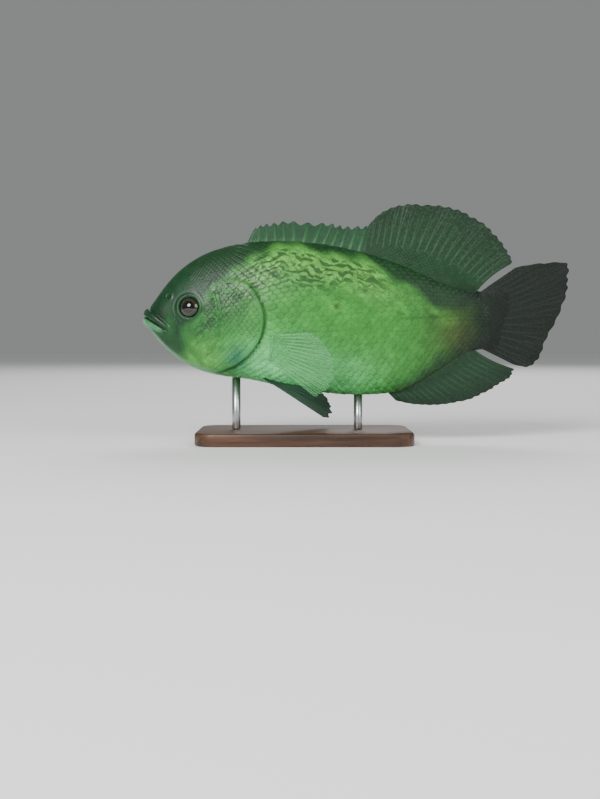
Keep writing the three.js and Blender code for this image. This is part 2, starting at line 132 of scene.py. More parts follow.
def body_frame(s, angle):
    """The point of the plain body, the way out of it and the way to the tail along it."""
    s = np.clip(s, END_MARGIN, BODY_LENGTH - END_MARGIN)
    step = np.minimum(STEP_ALONG, np.minimum(s, BODY_LENGTH - s) / 2)
    behind = place(s + step, *outline_at(s + step, angle))
    ahead = place(s - step, *outline_at(s - step, angle))
    below = place(s, *outline_at(s, angle + STEP_ROUND))
    above = place(s, *outline_at(s, angle - STEP_ROUND))
    along = unit(behind - ahead)
    return place(s, *outline_at(s, angle)), unit(np.cross(along, below - above)), along


def eased(value, low, high):
    """0 below low, 1 above high, and a smooth step between."""
    t = np.clip((value - low) / (high - low), 0, 1)
    return t * t * (3 - 2 * t)


def between(value, low, full, fading, gone):
    """Rises from 0 at low to 1 at full, and falls again from 1 at fading to 0 at gone."""
    return eased(value, low, full) * (1 - eased(value, fading, gone))


def near(distance, width):
    """1 on a line or a spot, fading out over a width to both sides of it."""
    return np.exp(-(distance / width) ** 2)


def spline(points, t):
    """Points of a smooth line through (s, h) points, at t from 0 to 1."""
    p = np.array(points, float)
    last = len(p) - 1
    x = np.clip(t, 0, 1) * last
    i = np.minimum(x.astype(int), last - 1)
    w = (x - i)[..., None]
    before, start, end, after = p[np.maximum(i - 1, 0)], p[i], p[i + 1], p[np.minimum(i + 2, last)]
    leave = (end - before) / 2
    arrive = (after - start) / 2
    return ((2 * start - 2 * end + leave + arrive) * w**3 + (-3 * start + 3 * end - 2 * leave - arrive) * w**2
            + leave * w + start)


def behind_line(s, h, points):
    """Distance from a line of points that runs down the body, positive on its tail side."""
    nearest = np.full(s.shape, np.inf)
    sign = np.ones(s.shape)
    for (s0, h0), (s1, h1) in zip(points[:-1], points[1:]):
        ds = s1 - s0
        dh = h1 - h0
        t = np.clip(((s - s0) * ds + (h - h0) * dh) / (ds * ds + dh * dh), 0, 1)
        away = np.hypot(s - s0 - t * ds, h - h0 - t * dh)
        sign = np.where(away < nearest, np.sign((h - h0) * ds - (s - s0) * dh), sign)
        nearest = np.minimum(nearest, away)
    return nearest * sign


# The mouth line runs from the front of the lips to the corner. The lips are thickest in front, stand out by
# LIP_ROLL of their thickness, and end LIP_REACH thicknesses from the line. LIPS_END, SOCKET_WALL, COAT_START
# and the pairs of the gill cover are ranges over which a form rises or dies out.
GAPE_TIP = np.array([-6, 6.2])
MOUTH_CORNER = np.array([16.5, -7.5])
LIP_THICK = 3.2
CORNER_THICK = 1.8
LIP_ROLL = 0.6
LIP_REACH = 2.15
LIPS_END = (0.88, 1.08)
EYE_S = 32.5
EYE_H = 8.5
EYE_RADIUS = 7.3
SOCKET_DEPTH = 4.2
SOCKET_WALL = (5.9, 7.0)
NOSTRIL_S = 18
NOSTRIL_H = 16
GILL_PROUD = 0.9
GILL_RISE = (-16, -1.5)
GILL_TOP = (21, 30)
GILL_FOOT = (0.2, 2.5)
GILL_REAR = spline([(60, 30), (73, 25), (82, 12), (84.5, -3), (79, -19), (66, -31), (50, -37.5)],
                   np.linspace(0, 1, 41))
CHEEK_FOLD = spline([(27, -4), (28.5, -13), (32, -22), (38, -29)], np.linspace(0, 1, 13))
CHEEK_REAR = spline([(50, 22), (53.5, 10), (54, -4), (51, -17), (43, -28)], np.linspace(0, 1, 17))
# Sensory pores: one row under the eye and one along the lower jaw.
PORE_ROWS = np.concatenate([
    spline([(23, 1), (26, -3.5), (32, -5.5), (39, -3), (43, 4)], np.linspace(0, 1, 7)),
    spline([(9, -9), (17, -17.5), (27, -25), (37, -30)], np.linspace(0, 1, 6))])
# Folds as height, distance from the line or rim that they follow, and width. A groove's height is negative.
MOUTH_GROOVE = [(-1.4, 0, 0.45)]
LIP_GROOVE = [(-0.6, 0, 0.9)]
EYE_RIM = [(0.65, 0.9, 1.2), (0.08, 4.2, 1.3), (-0.08, 2.8, 0.8)]
NOSTRIL_RIM = [(0.45, 2.0, 0.8), (-1.7, 0, 1.1)]
PORE_DIMPLE = [(-0.4, 0, 0.6)]
FRONT_CHEEK = [(0.45, -1.4, 1.5), (-0.55, 0, 0.8)]
REAR_CHEEK = [(0.5, -1.8, 2.0), (-0.6, 0.3, 0.9)]
GILL_LIP = [(0.35, -1.0, 0.8)]
GILL_SLIT = [(-1.0, 0.5, 0.9)]
# The skin lies this much deeper where the coat of scales covers it.
COAT_DEPTH = 0.4
COAT_START = (34, 60)


def clear_of_ends(s, h, line, reach):
    """0 at both ends of a line of points, rising to 1 away from them, so that a fold dies out there."""
    ends = [np.hypot(s - a, h - b) for a, b in (line[0], line[-1])]
    return eased(np.minimum(*ends), 0, reach)


def gape(s, h):
    """Share of the mouth line passed (0 at the front, 1 at the corner), and millimetres above it."""
    line = MOUTH_CORNER - GAPE_TIP
    length = np.hypot(*line)
    ahead = s - GAPE_TIP[0]
    above = h - GAPE_TIP[1]
    return (ahead * line[0] + above * line[1]) / length**2, (above * line[0] - ahead * line[1]) / length


def relief(distance, bumps):
    """The folds at a distance from the line that they follow, added up."""
    return sum(height * near(distance - at, width) for height, at, width in bumps)


def folds(s, h):
    """How far the skin stands out from the plain body, in millimetres."""
    along, off = gape(s, h)
    thick = LIP_THICK + (CORNER_THICK - LIP_THICK) * np.clip(along, 0, 1) ** 1.5
    roll = LIP_ROLL * thick * np.sqrt(np.maximum(0, 1 - ((np.abs(off) - thick) / thick) ** 2))
    lips = roll + relief(off, MOUTH_GROOVE) + relief(np.abs(off) - LIP_REACH * thick, LIP_GROOVE)
    corner_pad = 0.3 * near(along - 1.12, 0.05) * near(off + 1, 4.5)
    out = lips * (1 - eased(along, *LIPS_END)) + corner_pad
    to_eye = np.hypot(s - EYE_S, h - EYE_H)
    out += relief(to_eye - EYE_RADIUS, EYE_RIM) - SOCKET_DEPTH * (1 - eased(to_eye, *SOCKET_WALL))
    out += relief(np.hypot(s - NOSTRIL_S, h - NOSTRIL_H), NOSTRIL_RIM)
    for pore_s, pore_h in PORE_ROWS:
        out += relief(np.hypot(s - pore_s, h - pore_h), PORE_DIMPLE)
    out += relief(behind_line(s, h, CHEEK_FOLD), FRONT_CHEEK) * clear_of_ends(s, h, CHEEK_FOLD, 4)
    out += relief(behind_line(s, h, CHEEK_REAR), REAR_CHEEK) * clear_of_ends(s, h, CHEEK_REAR, 6)
    edge = behind_line(s, h, GILL_REAR)
    flap = (GILL_PROUD * eased(edge, *GILL_RISE) + relief(edge, GILL_LIP)) * (edge < 0)
    slit = relief(edge, GILL_SLIT) * (edge > -0.2)
    out += (flap + slit) * (1 - eased(h, *GILL_TOP)) * eased(h - belly_at(s), *GILL_FOOT)
    return out - COAT_DEPTH * eased(s, *COAT_START)


def linear(colour):
    """An sRGB hex colour as linear red, green and blue."""
    parts = [(colour >> shift & 255) / 255 for shift in (16, 8, 0)]
    return np.array([c / 12.92 if c <= 0.04045 else ((c + 0.055) / 1.055) ** 2.4 for c in parts])


BACK_GREEN = linear(0x15361C)
FACE_GREEN = linear(0x143B20)
CHEEK_GREEN = linear(0x2D6A30)
FLANK_GREEN = linear(0x3D8A36)
BRIGHT_GREEN = linear(0x66AC4B)
# Pale mint, brighter than the breast's own colour: painted light on the breast and belly.
PALE_MINT_AND_LIGHT = linear(0x76DE8E)
CHIN_MINT = linear(0x569C6A)
GILL_BLUE = linear(0x266352)
REAR_OLIVE = linear(0x335625)
RUST = linear(0x4E401E)
TAIL_BLACK = linear(0x0D1B12)
# Near black: painted shade in the mouth line and the nostril.
SLIT_SHADE = linear(0x080C08)
MARK_DARK = linear(0x1A3A1A)
# The bright flank ends upwards at this line, and the dark back starts there.
BRIGHT_EDGE = [(27, -8), (38, 9), (61, 31.5), (91, 50), (105, 50), (123, 46.5), (144, 42.5), (160, 38),
               (178, 27), (196, 14), (208, 8), (218, 6), (232, 10), (246, 16)]
bright_edge_at = profile(BRIGHT_EDGE)
# Two dark spots in pale rings, as (s, h, radius).
SIDE_SPOTS = [(154, 20, 2.2), (134, 9, 1.6)]


def below_edge(s, h):
    """Distance down from the edge of the dark back, in millimetres."""
    return bright_edge_at(s) - h


def patch(s, h, middle_s, middle_h, length, height):
    """1 in the middle of an oval patch of colour, fading out over its length and height to each side."""
    return near(np.hypot((s - middle_s) / length, (h - middle_h) / height), 1)


def ground(s, h):
    """The colour of the skin and of the scales on it, with painted light and shade, before the fine marks."""
    # The edges of the colours wander by a few millimetres, as pigment does.
    wander = (np.sin(h / 3.3 - s / 11) + 1.6 * np.sin(s / 7.3 + 0.8 * np.sin(h / 9))
              + 1.3 * np.sin(s / 3.1 + h / 5.2))
    below = below_edge(s, h) + 0.9 * wander
    over_belly = h - belly_at(s)
    along, off = gape(s, h)
    # The flank, with a band of painted highlight under the dark back. The pale breast and the belly, with
    # painted light added that brightens them further.
    shoulder_highlight = near(below - 9, 12) * between(s, 45, 85, 150, 195)
    lit_breast = patch(s, h, 92, -35, 30, 19)
    lit_belly = eased(-h, 14, 42) * between(s, 55, 85, 140, 185)
    dark_back = 1 - eased(below, -5, 4)
    # The head behind its dark mask. The throat stays paler than the cheek.
    throat = eased(-h, 4, 18)
    cheek = (1 - eased(s + 0.1 * np.abs(h) + 1.5 * wander, 54, 92)) * (1 - 0.8 * throat)
    jaw = patch(s, h, 41, -31, 18, 14)
    under_eye = patch(s, h, 41, -5, 9, 7)
    gill_patch = patch(s, h, 66, -27, 9, 8)
    gill_edge = behind_line(s, h, GILL_REAR)
    gill_height = 1 - eased(h, 20, 29)
    # The mask over the face, with a paler fold in it and a painted highlight behind the mouth's corner, the
    # snout, the chin with a painted highlight along its lower edge, the lower lip, and painted shade in the
    # mouth line and the nostril.
    mask = 1 - eased(s + 0.25 * np.abs(h + 8) + wander - 14 * eased(h, -4, 8), 25, 38)
    cheek_fold = near(behind_line(s, h, CHEEK_FOLD) - 1.8, 2.4) * (1 - eased(h, -12, -3))
    corner_highlight = near(s - 18.5, 3.0) * near(h + 3.5, 7.5)
    snout = patch(s, h, 11, 4, 6, 8)
    chin_highlight = (1 - eased(over_belly, 1.0, 4.6)) * (1 - eased(s, 46, 66)) * (1 - eased(off, -3, -1))
    lower_lip = near(off + 2.8, 2.0) * (1 - eased(along, 0.75, 1.0))
    mouth_line_shade = near(off, 0.55) * (1 - eased(along, 1.0, 1.08))
    nostril_shade = near(np.hypot(s - NOSTRIL_S, h - NOSTRIL_H), 1.0)
    # The rear: olive, dark over the anal fin's foot, with a band of painted highlight under the dark back, a
    # faint ring spot, and black at the end.
    rear = eased(s + 0.8 * wander, 168, 222)
    anal_foot = (1 - eased(over_belly + wander, 2, 17)) * eased(s, 158, 190)
    rear_highlight = near(below - 5, 3) * between(s, 192, 204, 222, 234)
    ring_spot = patch(s, h, 222, -8, 15, 13)
    tail_root = eased(s + 0.6 * wander, 209, 241)
    layers = [
        # A painted highlight on the flank under the dark back, and painted light on the breast and belly.
        (BRIGHT_GREEN, 0.9 * shoulder_highlight),
        (PALE_MINT_AND_LIGHT, 0.95 * lit_breast),
        (PALE_MINT_AND_LIGHT, 0.35 * lit_belly),
        (CHEEK_GREEN, 0.92 * cheek),
        (BRIGHT_GREEN, 0.6 * jaw),
        (REAR_OLIVE, 0.9 * rear),
        (BACK_GREEN, 0.85 * anal_foot),
        (CHEEK_GREEN, 0.7 * under_eye),
        (GILL_BLUE, 0.8 * gill_patch),
        # Along the gill cover's edge, a painted highlight on its raised lip and painted shade in the slit
        # behind it.
        (CHEEK_GREEN, 0.6 * near(gill_edge + 0.9, 1.5) * gill_height),
        (BACK_GREEN, 0.55 * near(gill_edge - 0.6, 1.1) * gill_height),
        (BACK_GREEN, 0.97 * dark_back),
        # A painted highlight under the dark back at the rear.
        (BRIGHT_GREEN, 0.3 * rear_highlight),
        (RUST, 0.45 * ring_spot),
        (FACE_GREEN, 0.95 * mask),
        (CHEEK_GREEN, 0.5 * cheek_fold),
        # A painted highlight behind the mouth's corner.
        (CHEEK_GREEN, 0.5 * corner_highlight),
        (TAIL_BLACK, 0.45 * snout),
        (TAIL_BLACK, 0.97 * tail_root),
        # A painted highlight along the chin's lower edge.
        (CHIN_MINT, 0.85 * chin_highlight),
        (CHIN_MINT, 0.75 * lower_lip),
        # Painted shade in the mouth line and the nostril pit.
        (SLIT_SHADE, 0.9 * mouth_line_shade),
        (SLIT_SHADE, 0.8 * nostril_shade),
    ]
    for spot_s, spot_h, radius in SIDE_SPOTS:
        away = np.hypot(s - spot_s, 1.3 * (h - spot_h))
        layers.append((BRIGHT_GREEN, 0.5 * near(away - 2.2 * radius, radius)))
        layers.append((BACK_GREEN, 0.9 * near(away, radius)))
    colour = np.broadcast_to(FLANK_GREEN, s.shape + (3,)).copy()
    for shade, amount in layers:
        colour += (shade - colour) * np.clip(amount, 0, 1)[..., None]
    return colour


def marked(s, h):
    """Where the dark squiggles lie: a belt under the dark back, strongest over the shoulder."""
    below = below_edge(s, h)
    narrowing = 8 * eased(s, 115, 150)
    belt = eased(below, 0, 3) * (1 - eased(below + narrowing, 20, 36))
    return belt * eased(s, 28, 46) * (1 - 0.85 * eased(s, 152, 186))


def paint(mesh, **values):
    """Stores a value for each point of a mesh: a colour where it has three parts, else a number."""
    for name, value in values.items():
        value = np.asarray(value, float)
        if value.ndim == 2:
            layer = mesh.attributes.new(name, "FLOAT_COLOR", "POINT")
            layer.data.foreach_set("color", np.column_stack([value, np.ones(len(value))]).ravel())
        else:
            layer = mesh.attributes.new(name, "FLOAT", "POINT")
            layer.data.foreach_set("value", value.ravel())


def move_points(bm, points):
    """Moves each point of a bmesh to a place of its own."""
    for vertex, to in zip(bm.verts, points):
        vertex.co = to


def to_mesh(name, bm):
    """Makes a mesh of a bmesh, and frees the bmesh."""
    mesh = bpy.data.meshes.new(name)
    bm.to_mesh(mesh)
    bm.free()
    return mesh


def finished(name, mesh, material, slot, *replaced):
    """Makes an object of a mesh, in its place already, with its finish."""
    mesh.materials.append(material)
    mesh.shade_smooth()
    piece = bpy.data.objects.new(name, mesh)
    bpy.context.scene.collection.objects.link(piece)
    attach(piece, "root")
    if replaced:
        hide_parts(*replaced)


def node(material, kind, links=(), **settings):
    """Adds a node with its settings and links. A link is (input, output socket of another node).

    A setting with a capital is the value of the input of that name, and in_ and a number is the value of
    the input of that number, for the nodes that have inputs of one name. Any other is the node's own.
    """
    made = material.node_tree.nodes.new("ShaderNode" + kind)
    for key, value in settings.items():
        if key.startswith("in_"):
            made.inputs[int(key[3:])].default_value = value
        elif key[0].isupper():
            made.inputs[key.replace("_", " ")].default_value = value
        else:
            setattr(made, key, value)
    for target, source in links:
        material.node_tree.links.new(source, made.inputs[target])
    return made


def new_material(name, **settings):
    """A material, and its shader with the constant settings, each named for its input."""
    material = bpy.data.materials.new(name)
    material.use_nodes = True
    shader = material.node_tree.nodes["Principled BSDF"]
    for key, value in settings.items():
        shader.inputs[key.replace("_", " ")].default_value = value
    return material, shader


# The dark marks in millimetres: the rows that they lie in, how these bend, and the dashes and hooks in them.
MARK_ROW = 4.6
BEND_LENGTH = 9
BEND_HEIGHT = 10
BEND_ROWS = 3
DASH_LENGTH = 6.2
HOOK_LENGTH = 6
HOOK_HEIGHT = 7
MARK_STRENGTH = 0.8
# Clouds of pigment are some millimetres wide. Pigment dots and the grain of the skin are a few tenths of
# a millimetre wide, too fine to show, and are drawn at over 1 mm.
CLOUDING = 7
SPECKLE = 1.1
SKIN_GRAIN = 1.4


def wet_scaled_skin():
    """Wet fish skin: pigment with dark wavy marks and some painted light and shade, under a thin clear slime
    coat that gives a soft gleam.
    """
    material, shader = new_material("wet_scaled_skin", Roughness=0.38, IOR=1.36, Coat_Weight=0.1,
                                    Coat_Roughness=0.15, Coat_IOR=1.34)
    colour = node(material, "Attribute", attribute_name="ground")
    belt = node(material, "Attribute", attribute_name="marked")
    below = node(material, "Attribute", attribute_name="below")
    where = node(material, "TexCoord").outputs["Object"]
    # The marks follow the edge of the dark back in rows, so they are laid out by distance from it.
    parts = node(material, "SeparateXYZ", [(0, where)])
    along = node(material, "Math", [(0, parts.outputs[0])], operation="DIVIDE", in_1=MM)
    laid = node(material, "CombineXYZ", [(0, along.outputs[0]), (1, below.outputs["Fac"])])
    # Each row swings up and down with the noise, and a mark is drawn along the middle of it.
    bend_at = node(material, "Mapping", [(0, laid.outputs[0])], Scale=(1 / BEND_LENGTH, 1 / BEND_HEIGHT, 1))
    bend = node(material, "TexNoise", [(0, bend_at.outputs[0])], Scale=1.0, Detail=1.0)
    row = node(material, "Math", [(0, below.outputs["Fac"])], operation="DIVIDE", in_1=MARK_ROW)
    phase = node(material, "Math", [(0, bend.outputs[0]), (2, row.outputs[0])], operation="MULTIPLY_ADD",
                 in_1=BEND_ROWS)
    swing = node(material, "Math", [(0, phase.outputs[0])], operation="PINGPONG", in_1=0.5)
    # A second noise breaks the rows into dashes, thick in the middle and thin at the ends.
    dash_at = node(material, "Mapping", [(0, laid.outputs[0])], Location=(40, 10, 3),
                   Scale=(1 / DASH_LENGTH, 1 / MARK_ROW, 1))
    dash = node(material, "TexNoise", [(0, dash_at.outputs[0])], Scale=1.0, Detail=1.0)
    thick = node(material, "MapRange", [(0, dash.outputs[0])], From_Min=0.34, From_Max=0.6, To_Min=-0.04,
                 To_Max=0.38)
    inside = node(material, "Math", [(0, thick.outputs[0]), (1, swing.outputs[0])], operation="SUBTRACT")
    dashes = node(material, "MapRange", [(0, inside.outputs[0])], interpolation_type="SMOOTHSTEP",
                  From_Min=-0.05, From_Max=0.06, To_Min=0.0, To_Max=1.0)
    # The hooks run where a third noise passes its middle value.
    hook_at = node(material, "Mapping", [(0, laid.outputs[0])], Location=(7, 30, 9), Rotation=(0, 0, 0.6),
                   Scale=(1 / HOOK_LENGTH, 1 / HOOK_HEIGHT, 1))
    hook = node(material, "TexNoise", [(0, hook_at.outputs[0])], Scale=1.0, Detail=0.0)
    hook_off = node(material, "Math", [(0, hook.outputs[0])], operation="SUBTRACT", in_1=0.5)
    hook_away = node(material, "Math", [(0, hook_off.outputs[0])], operation="ABSOLUTE")
    hooks = node(material, "MapRange", [(0, hook_away.outputs[0])], interpolation_type="SMOOTHSTEP",
                 From_Min=0.01, From_Max=0.06, To_Min=0.6, To_Max=0.0)
    marks = node(material, "Math", [(0, dashes.outputs[0]), (1, hooks.outputs[0])], operation="MAXIMUM")
    mark = node(material, "Math", [(0, marks.outputs[0]), (1, belt.outputs["Fac"])], operation="MULTIPLY")
    faint = node(material, "Math", [(0, mark.outputs[0])], operation="MULTIPLY", in_1=MARK_STRENGTH)
    speckle = node(material, "TexNoise", [(0, where)], Scale=1 / (SPECKLE * MM), Detail=3.0)
    tint = node(material, "MapRange", [(0, speckle.outputs[0])], From_Min=0.3, From_Max=0.7, To_Min=0.82,
                To_Max=1.16)
    cloud = node(material, "TexNoise", [(0, where)], Scale=1 / (CLOUDING * MM), Detail=3.0)
    shade = node(material, "MapRange", [(0, cloud.outputs[0])], From_Min=0.3, From_Max=0.7, To_Min=0.8,
                 To_Max=1.15)
    tones = node(material, "Math", [(0, tint.outputs[0]), (1, shade.outputs[0])], operation="MULTIPLY")
    base = node(material, "Mix", [(6, colour.outputs["Color"]), (7, tones.outputs[0])], data_type="RGBA",
                blend_type="MULTIPLY", in_0=1.0)
    dark = node(material, "Mix", [(0, faint.outputs[0]), (6, base.outputs[2])], data_type="RGBA",
                in_7=(*MARK_DARK, 1))
    material.node_tree.links.new(dark.outputs[2], shader.inputs["Base Color"])
    grain = node(material, "TexNoise", [(0, where)], Scale=1 / (SKIN_GRAIN * MM), Detail=4.0)
    bump = node(material, "Bump", [("Height", grain.outputs[0])], Strength=0.3, Distance=0.4 * MM)
    material.node_tree.links.new(bump.outputs[0], shader.inputs["Normal"])
    return material


SKIN_FINISH = wet_scaled_skin()
AROUND = 250
# The skin's rings: close together over the lips and the face, wider over the flank, rounded off at the tail.
SNOUT_END = 20
SNOUT_RINGS = 66
FACE_END = 96
FACE_STEP = 0.54
BODY_STEP = 1.2
CAP_LENGTH = 8
CAP_RINGS = 11
CAP_START = BODY_LENGTH - CAP_LENGTH
RING_STOPS = np.concatenate([SNOUT_END * (np.arange(SNOUT_RINGS) / SNOUT_RINGS) ** 2,
                             np.arange(SNOUT_END, FACE_END, FACE_STEP),
                             np.arange(FACE_END, CAP_START, BODY_STEP),
                             CAP_START + CAP_LENGTH * np.sin(np.linspace(0, math.pi / 2, CAP_RINGS))])
# Points nearer to each other than this are welded, which closes the seam and both ends.
WELD = 0.002

bm = bmesh.new()
bmesh.ops.create_grid(bm, x_segments=AROUND, y_segments=len(RING_STOPS) - 1, size=0.5)
unwrap = bm.loops.layers.uv.new("OFBake")
for face in bm.faces:
    for corner in face.loops:
        corner[unwrap].uv = (corner.vert.co.x + 0.5, corner.vert.co.y + 0.5)
flat = np.array([v.co for v in bm.verts])
skin_s = RING_STOPS[np.rint((flat[:, 1] + 0.5) * (len(RING_STOPS) - 1)).astype(int)]
skin_angle = (flat[:, 0] + 0.5) * 2 * math.pi
skin_h = outline_at(skin_s, skin_angle)[1]
point, out, _ = body_frame(skin_s, skin_angle)
point += out * (folds(skin_s, skin_h) * MM)[:, None]
for end in (RING_STOPS[0], RING_STOPS[-1]):
    point[skin_s == end] = point[skin_s == end].mean(axis=0)
move_points(bm, point)
bmesh.ops.remove_doubles(bm, verts=bm.verts, dist=WELD * MM)
bmesh.ops.recalc_face_normals(bm, faces=bm.faces)
skin_mesh = to_mesh("skin", bm)
co = np.array([v.co for v in skin_mesh.vertices]) / MM
skin_s = co[:, 0] - SNOUT_X
skin_h = co[:, 2] - AXIS_HEIGHT
paint(skin_mesh, ground=ground(skin_s, skin_h), marked=marked(skin_s, skin_h),
      below=below_edge(skin_s, skin_h))
finished("skin", skin_mesh, SKIN_FINISH, "flank_skin",
         "head", "lower_jaw", "trunk", "tail_stalk", "gill_cover_right", "gill_cover_left")

# The scales: thin bony plates, each rooted in a pocket of the skin, with its free edge to the tail.
# They overlap like tiles in staggered rows, smaller on the cheeks, breast and tail root.
COLUMN_PITCH = 5.3
ROW_PITCH = 3.65
SCALE_LENGTH = 1.62 * COLUMN_PITCH
SCALE_LIFT = 0.45
SCALE_CROWN = 0.45
SCALE_JITTER = 0.04
# Each scale's own size and shade are drawn at random in these ranges.
SCALE_SIZES = (0.95, 1.05)
SCALE_SHADES = (0.88, 1.08)
RIM_SHADOW = 0.24
TUBE_SHADOW = 0.4
FIRST_COLUMN = 28.0
LAST_COLUMN = 241
RIDGE_GAP = 1
RING_POINTS = 300
RING_MARGIN = 0.01
# Size of a scale against those of the middle of the flank, as (s, size). Those of the breast are smaller.
SIZE_ALONG = [(28, 0.42), (60, 0.62), (95, 1.0), (190, 1.0), (240, 0.66)]
BREAST_SHRINK = 0.22
# One plate: how wide its root is, how far its corners are cut back, how high it is crowned, the inset of
# its rim and how far the rim is turned down. The points of the rim are those lower than RIM_BELOW.
ROOT_WIDTH = 0.78
CORNER_CUT = 0.42
PLATE_CROWN = 0.28
RIM_INSET = 0.04
RIM_DROP = 0.55
RIM_BELOW = -0.2
# The side of a scale's patch in the skin's unwrap.
UNWRAP_PATCH = 0.003
# Skin without scales: round the eye, along the cheek's rear fold and the gill cover's edge, at the throat.
# On the snout they start further forward on the brow, and further back on the nape.
SNOUT_BARE = 39
BROW_ADVANCE = 9
NAPE_RETREAT = 14
EYE_BARE = 11.5
CHEEK_BARE = 1.3
FLAP_BARE = 1.4
FLAP_TOP = 29
THROAT_BARE = 5
THROAT_END = 52
# Within this distance of the gill cover's edge a scale bridges the step in the skin.
GILL_BRIDGE = 3
# The lateral line: an upper run from the gill to under the soft back fin, and a lower one to the tail.
UPPER_RUN = [(64, 27), (85, 34), (115, 36), (145, 32), (172, 24), (186, 19)]
LOWER_RUN = [(176, 3), (200, 2), (222, 1), (240, 1)]
LATERAL_LINE = [*spline(UPPER_RUN, np.linspace(0, 1, 31)), *spline(LOWER_RUN, np.linspace(0, 1, 17))]
TUBE_REACH = 2.3
TUBE_HEIGHT = 0.35


def scale_size(s, h):
    """Size of a scale against those of the middle of the flank."""
    along = np.interp(s, *zip(*SIZE_ALONG))
    return along * (1 - BREAST_SHRINK * eased(-h, 20, 46) * (1 - eased(s, 100, 150)))


def scale_plate():
    """One scale: a crowned plate with a round free edge, 1 long from its root and up to 2 wide."""
    plate = bmesh.new()
    bmesh.ops.create_grid(plate, x_segments=4, y_segments=5, size=0.5)
    bmesh.ops.inset_region(plate, faces=plate.faces, thickness=RIM_INSET, use_boundary=True)
    rim = [e for e in plate.edges if e.is_boundary]
    outer = {v for e in rim for v in e.verts}
    for v in plate.verts:
        across = 2 * v.co.x
        along = v.co.y + 0.5
        width = ROOT_WIDTH + (1 - ROOT_WIDTH) * math.sin(math.pi * min(1, 1.25 * along))
        height = PLATE_CROWN * (1 - across * across) - (RIM_DROP if v in outer else 0)
        v.co = (across * width, along * (1 - CORNER_CUT * across * across), height)
    bmesh.ops.holes_fill(plate, edges=rim, sides=0)
    for edge in rim:
        edge.smooth = False
    bmesh.ops.recalc_face_normals(plate, faces=plate.faces)
    return to_mesh("scale_plate", plate)


PLATE = scale_plate()
PLATE_CO = np.array([v.co for v in PLATE.vertices])


def joined_plates(name, count, points, uv_root):
    """Joins copies of the plate, moves their points, and gives each its small patch of the skin's unwrap."""
    many = bmesh.new()
    for _ in range(count):
        many.from_mesh(PLATE)
    mesh = to_mesh(name, many)
    mesh.vertices.foreach_set("co", points.reshape(-1))
    corner = np.zeros(len(PLATE.loops), int)
    PLATE.loops.foreach_get("vertex_index", corner)
    on_patch = (PLATE_CO[corner, :2] + (1, 0)) * (0.5, 1) * UNWRAP_PATCH
    uv = (uv_root[:, None, :] + on_patch).reshape(-1)
    mesh.uv_layers.new(name="OFBake").data.foreach_set("uv", uv)
    return mesh


def scale_roots():
    """The root of each scale of a side: s, angle, h, size, and millimetres round the body to a radian."""
    roots = []
    s = FIRST_COLUMN
    column = 0
    angles = np.linspace(RING_MARGIN, math.pi - RING_MARGIN, RING_POINTS)
    while s < LAST_COLUMN:
        ring_side, ring_h = outline_at(np.full(RING_POINTS, s), angles)
        arc = np.concatenate([[0], np.cumsum(np.hypot(np.diff(ring_side), np.diff(ring_h)))])
        middle = np.interp(math.pi / 2, angles, arc)
        # Rows are laid from the middle of the flank up to the back, and then down to the belly.
        for way in (-1, 1):
            reach = 0 if way < 0 else ROW_PITCH * scale_size(s, 0)
            row = 0 if way < 0 else 1
            while RIDGE_GAP < middle + way * reach < arc[-1] - RIDGE_GAP:
                angle = np.interp(middle + way * reach, arc, angles)
                h = outline_at(s, angle)[1]
                size = float(scale_size(s, h))
                if (row + column) % 2 == 0:
                    rate = np.gradient(arc, angles)[np.searchsorted(angles, angle) - 1]
                    roots.append((s, angle, h, size, rate))
                reach += ROW_PITCH * size
                row += 1
        s += COLUMN_PITCH * float(scale_size(s, 0)) / 2
        column += 1
    return np.array(roots).T


def bare_skin(s, h, size):
    """Where no scale grows."""
    edge = behind_line(s, h, GILL_REAR)
    eye = np.hypot(s + 3 * size - EYE_S, h - EYE_H)
    cheek = behind_line(s + 5 * size, h, CHEEK_REAR)
    snout = s < SNOUT_BARE - BROW_ADVANCE * eased(h, 14, 30) + NAPE_RETREAT * eased(h, 40, 50)
    flap = (edge > -SCALE_LENGTH * size - FLAP_BARE) & (edge < 0.2) & (h < FLAP_TOP)
    throat = (h - belly_at(s) < THROAT_BARE) & (s < THROAT_END)
    return flap | throat | (np.abs(cheek) < CHEEK_BARE) | (eye < EYE_BARE) | snout


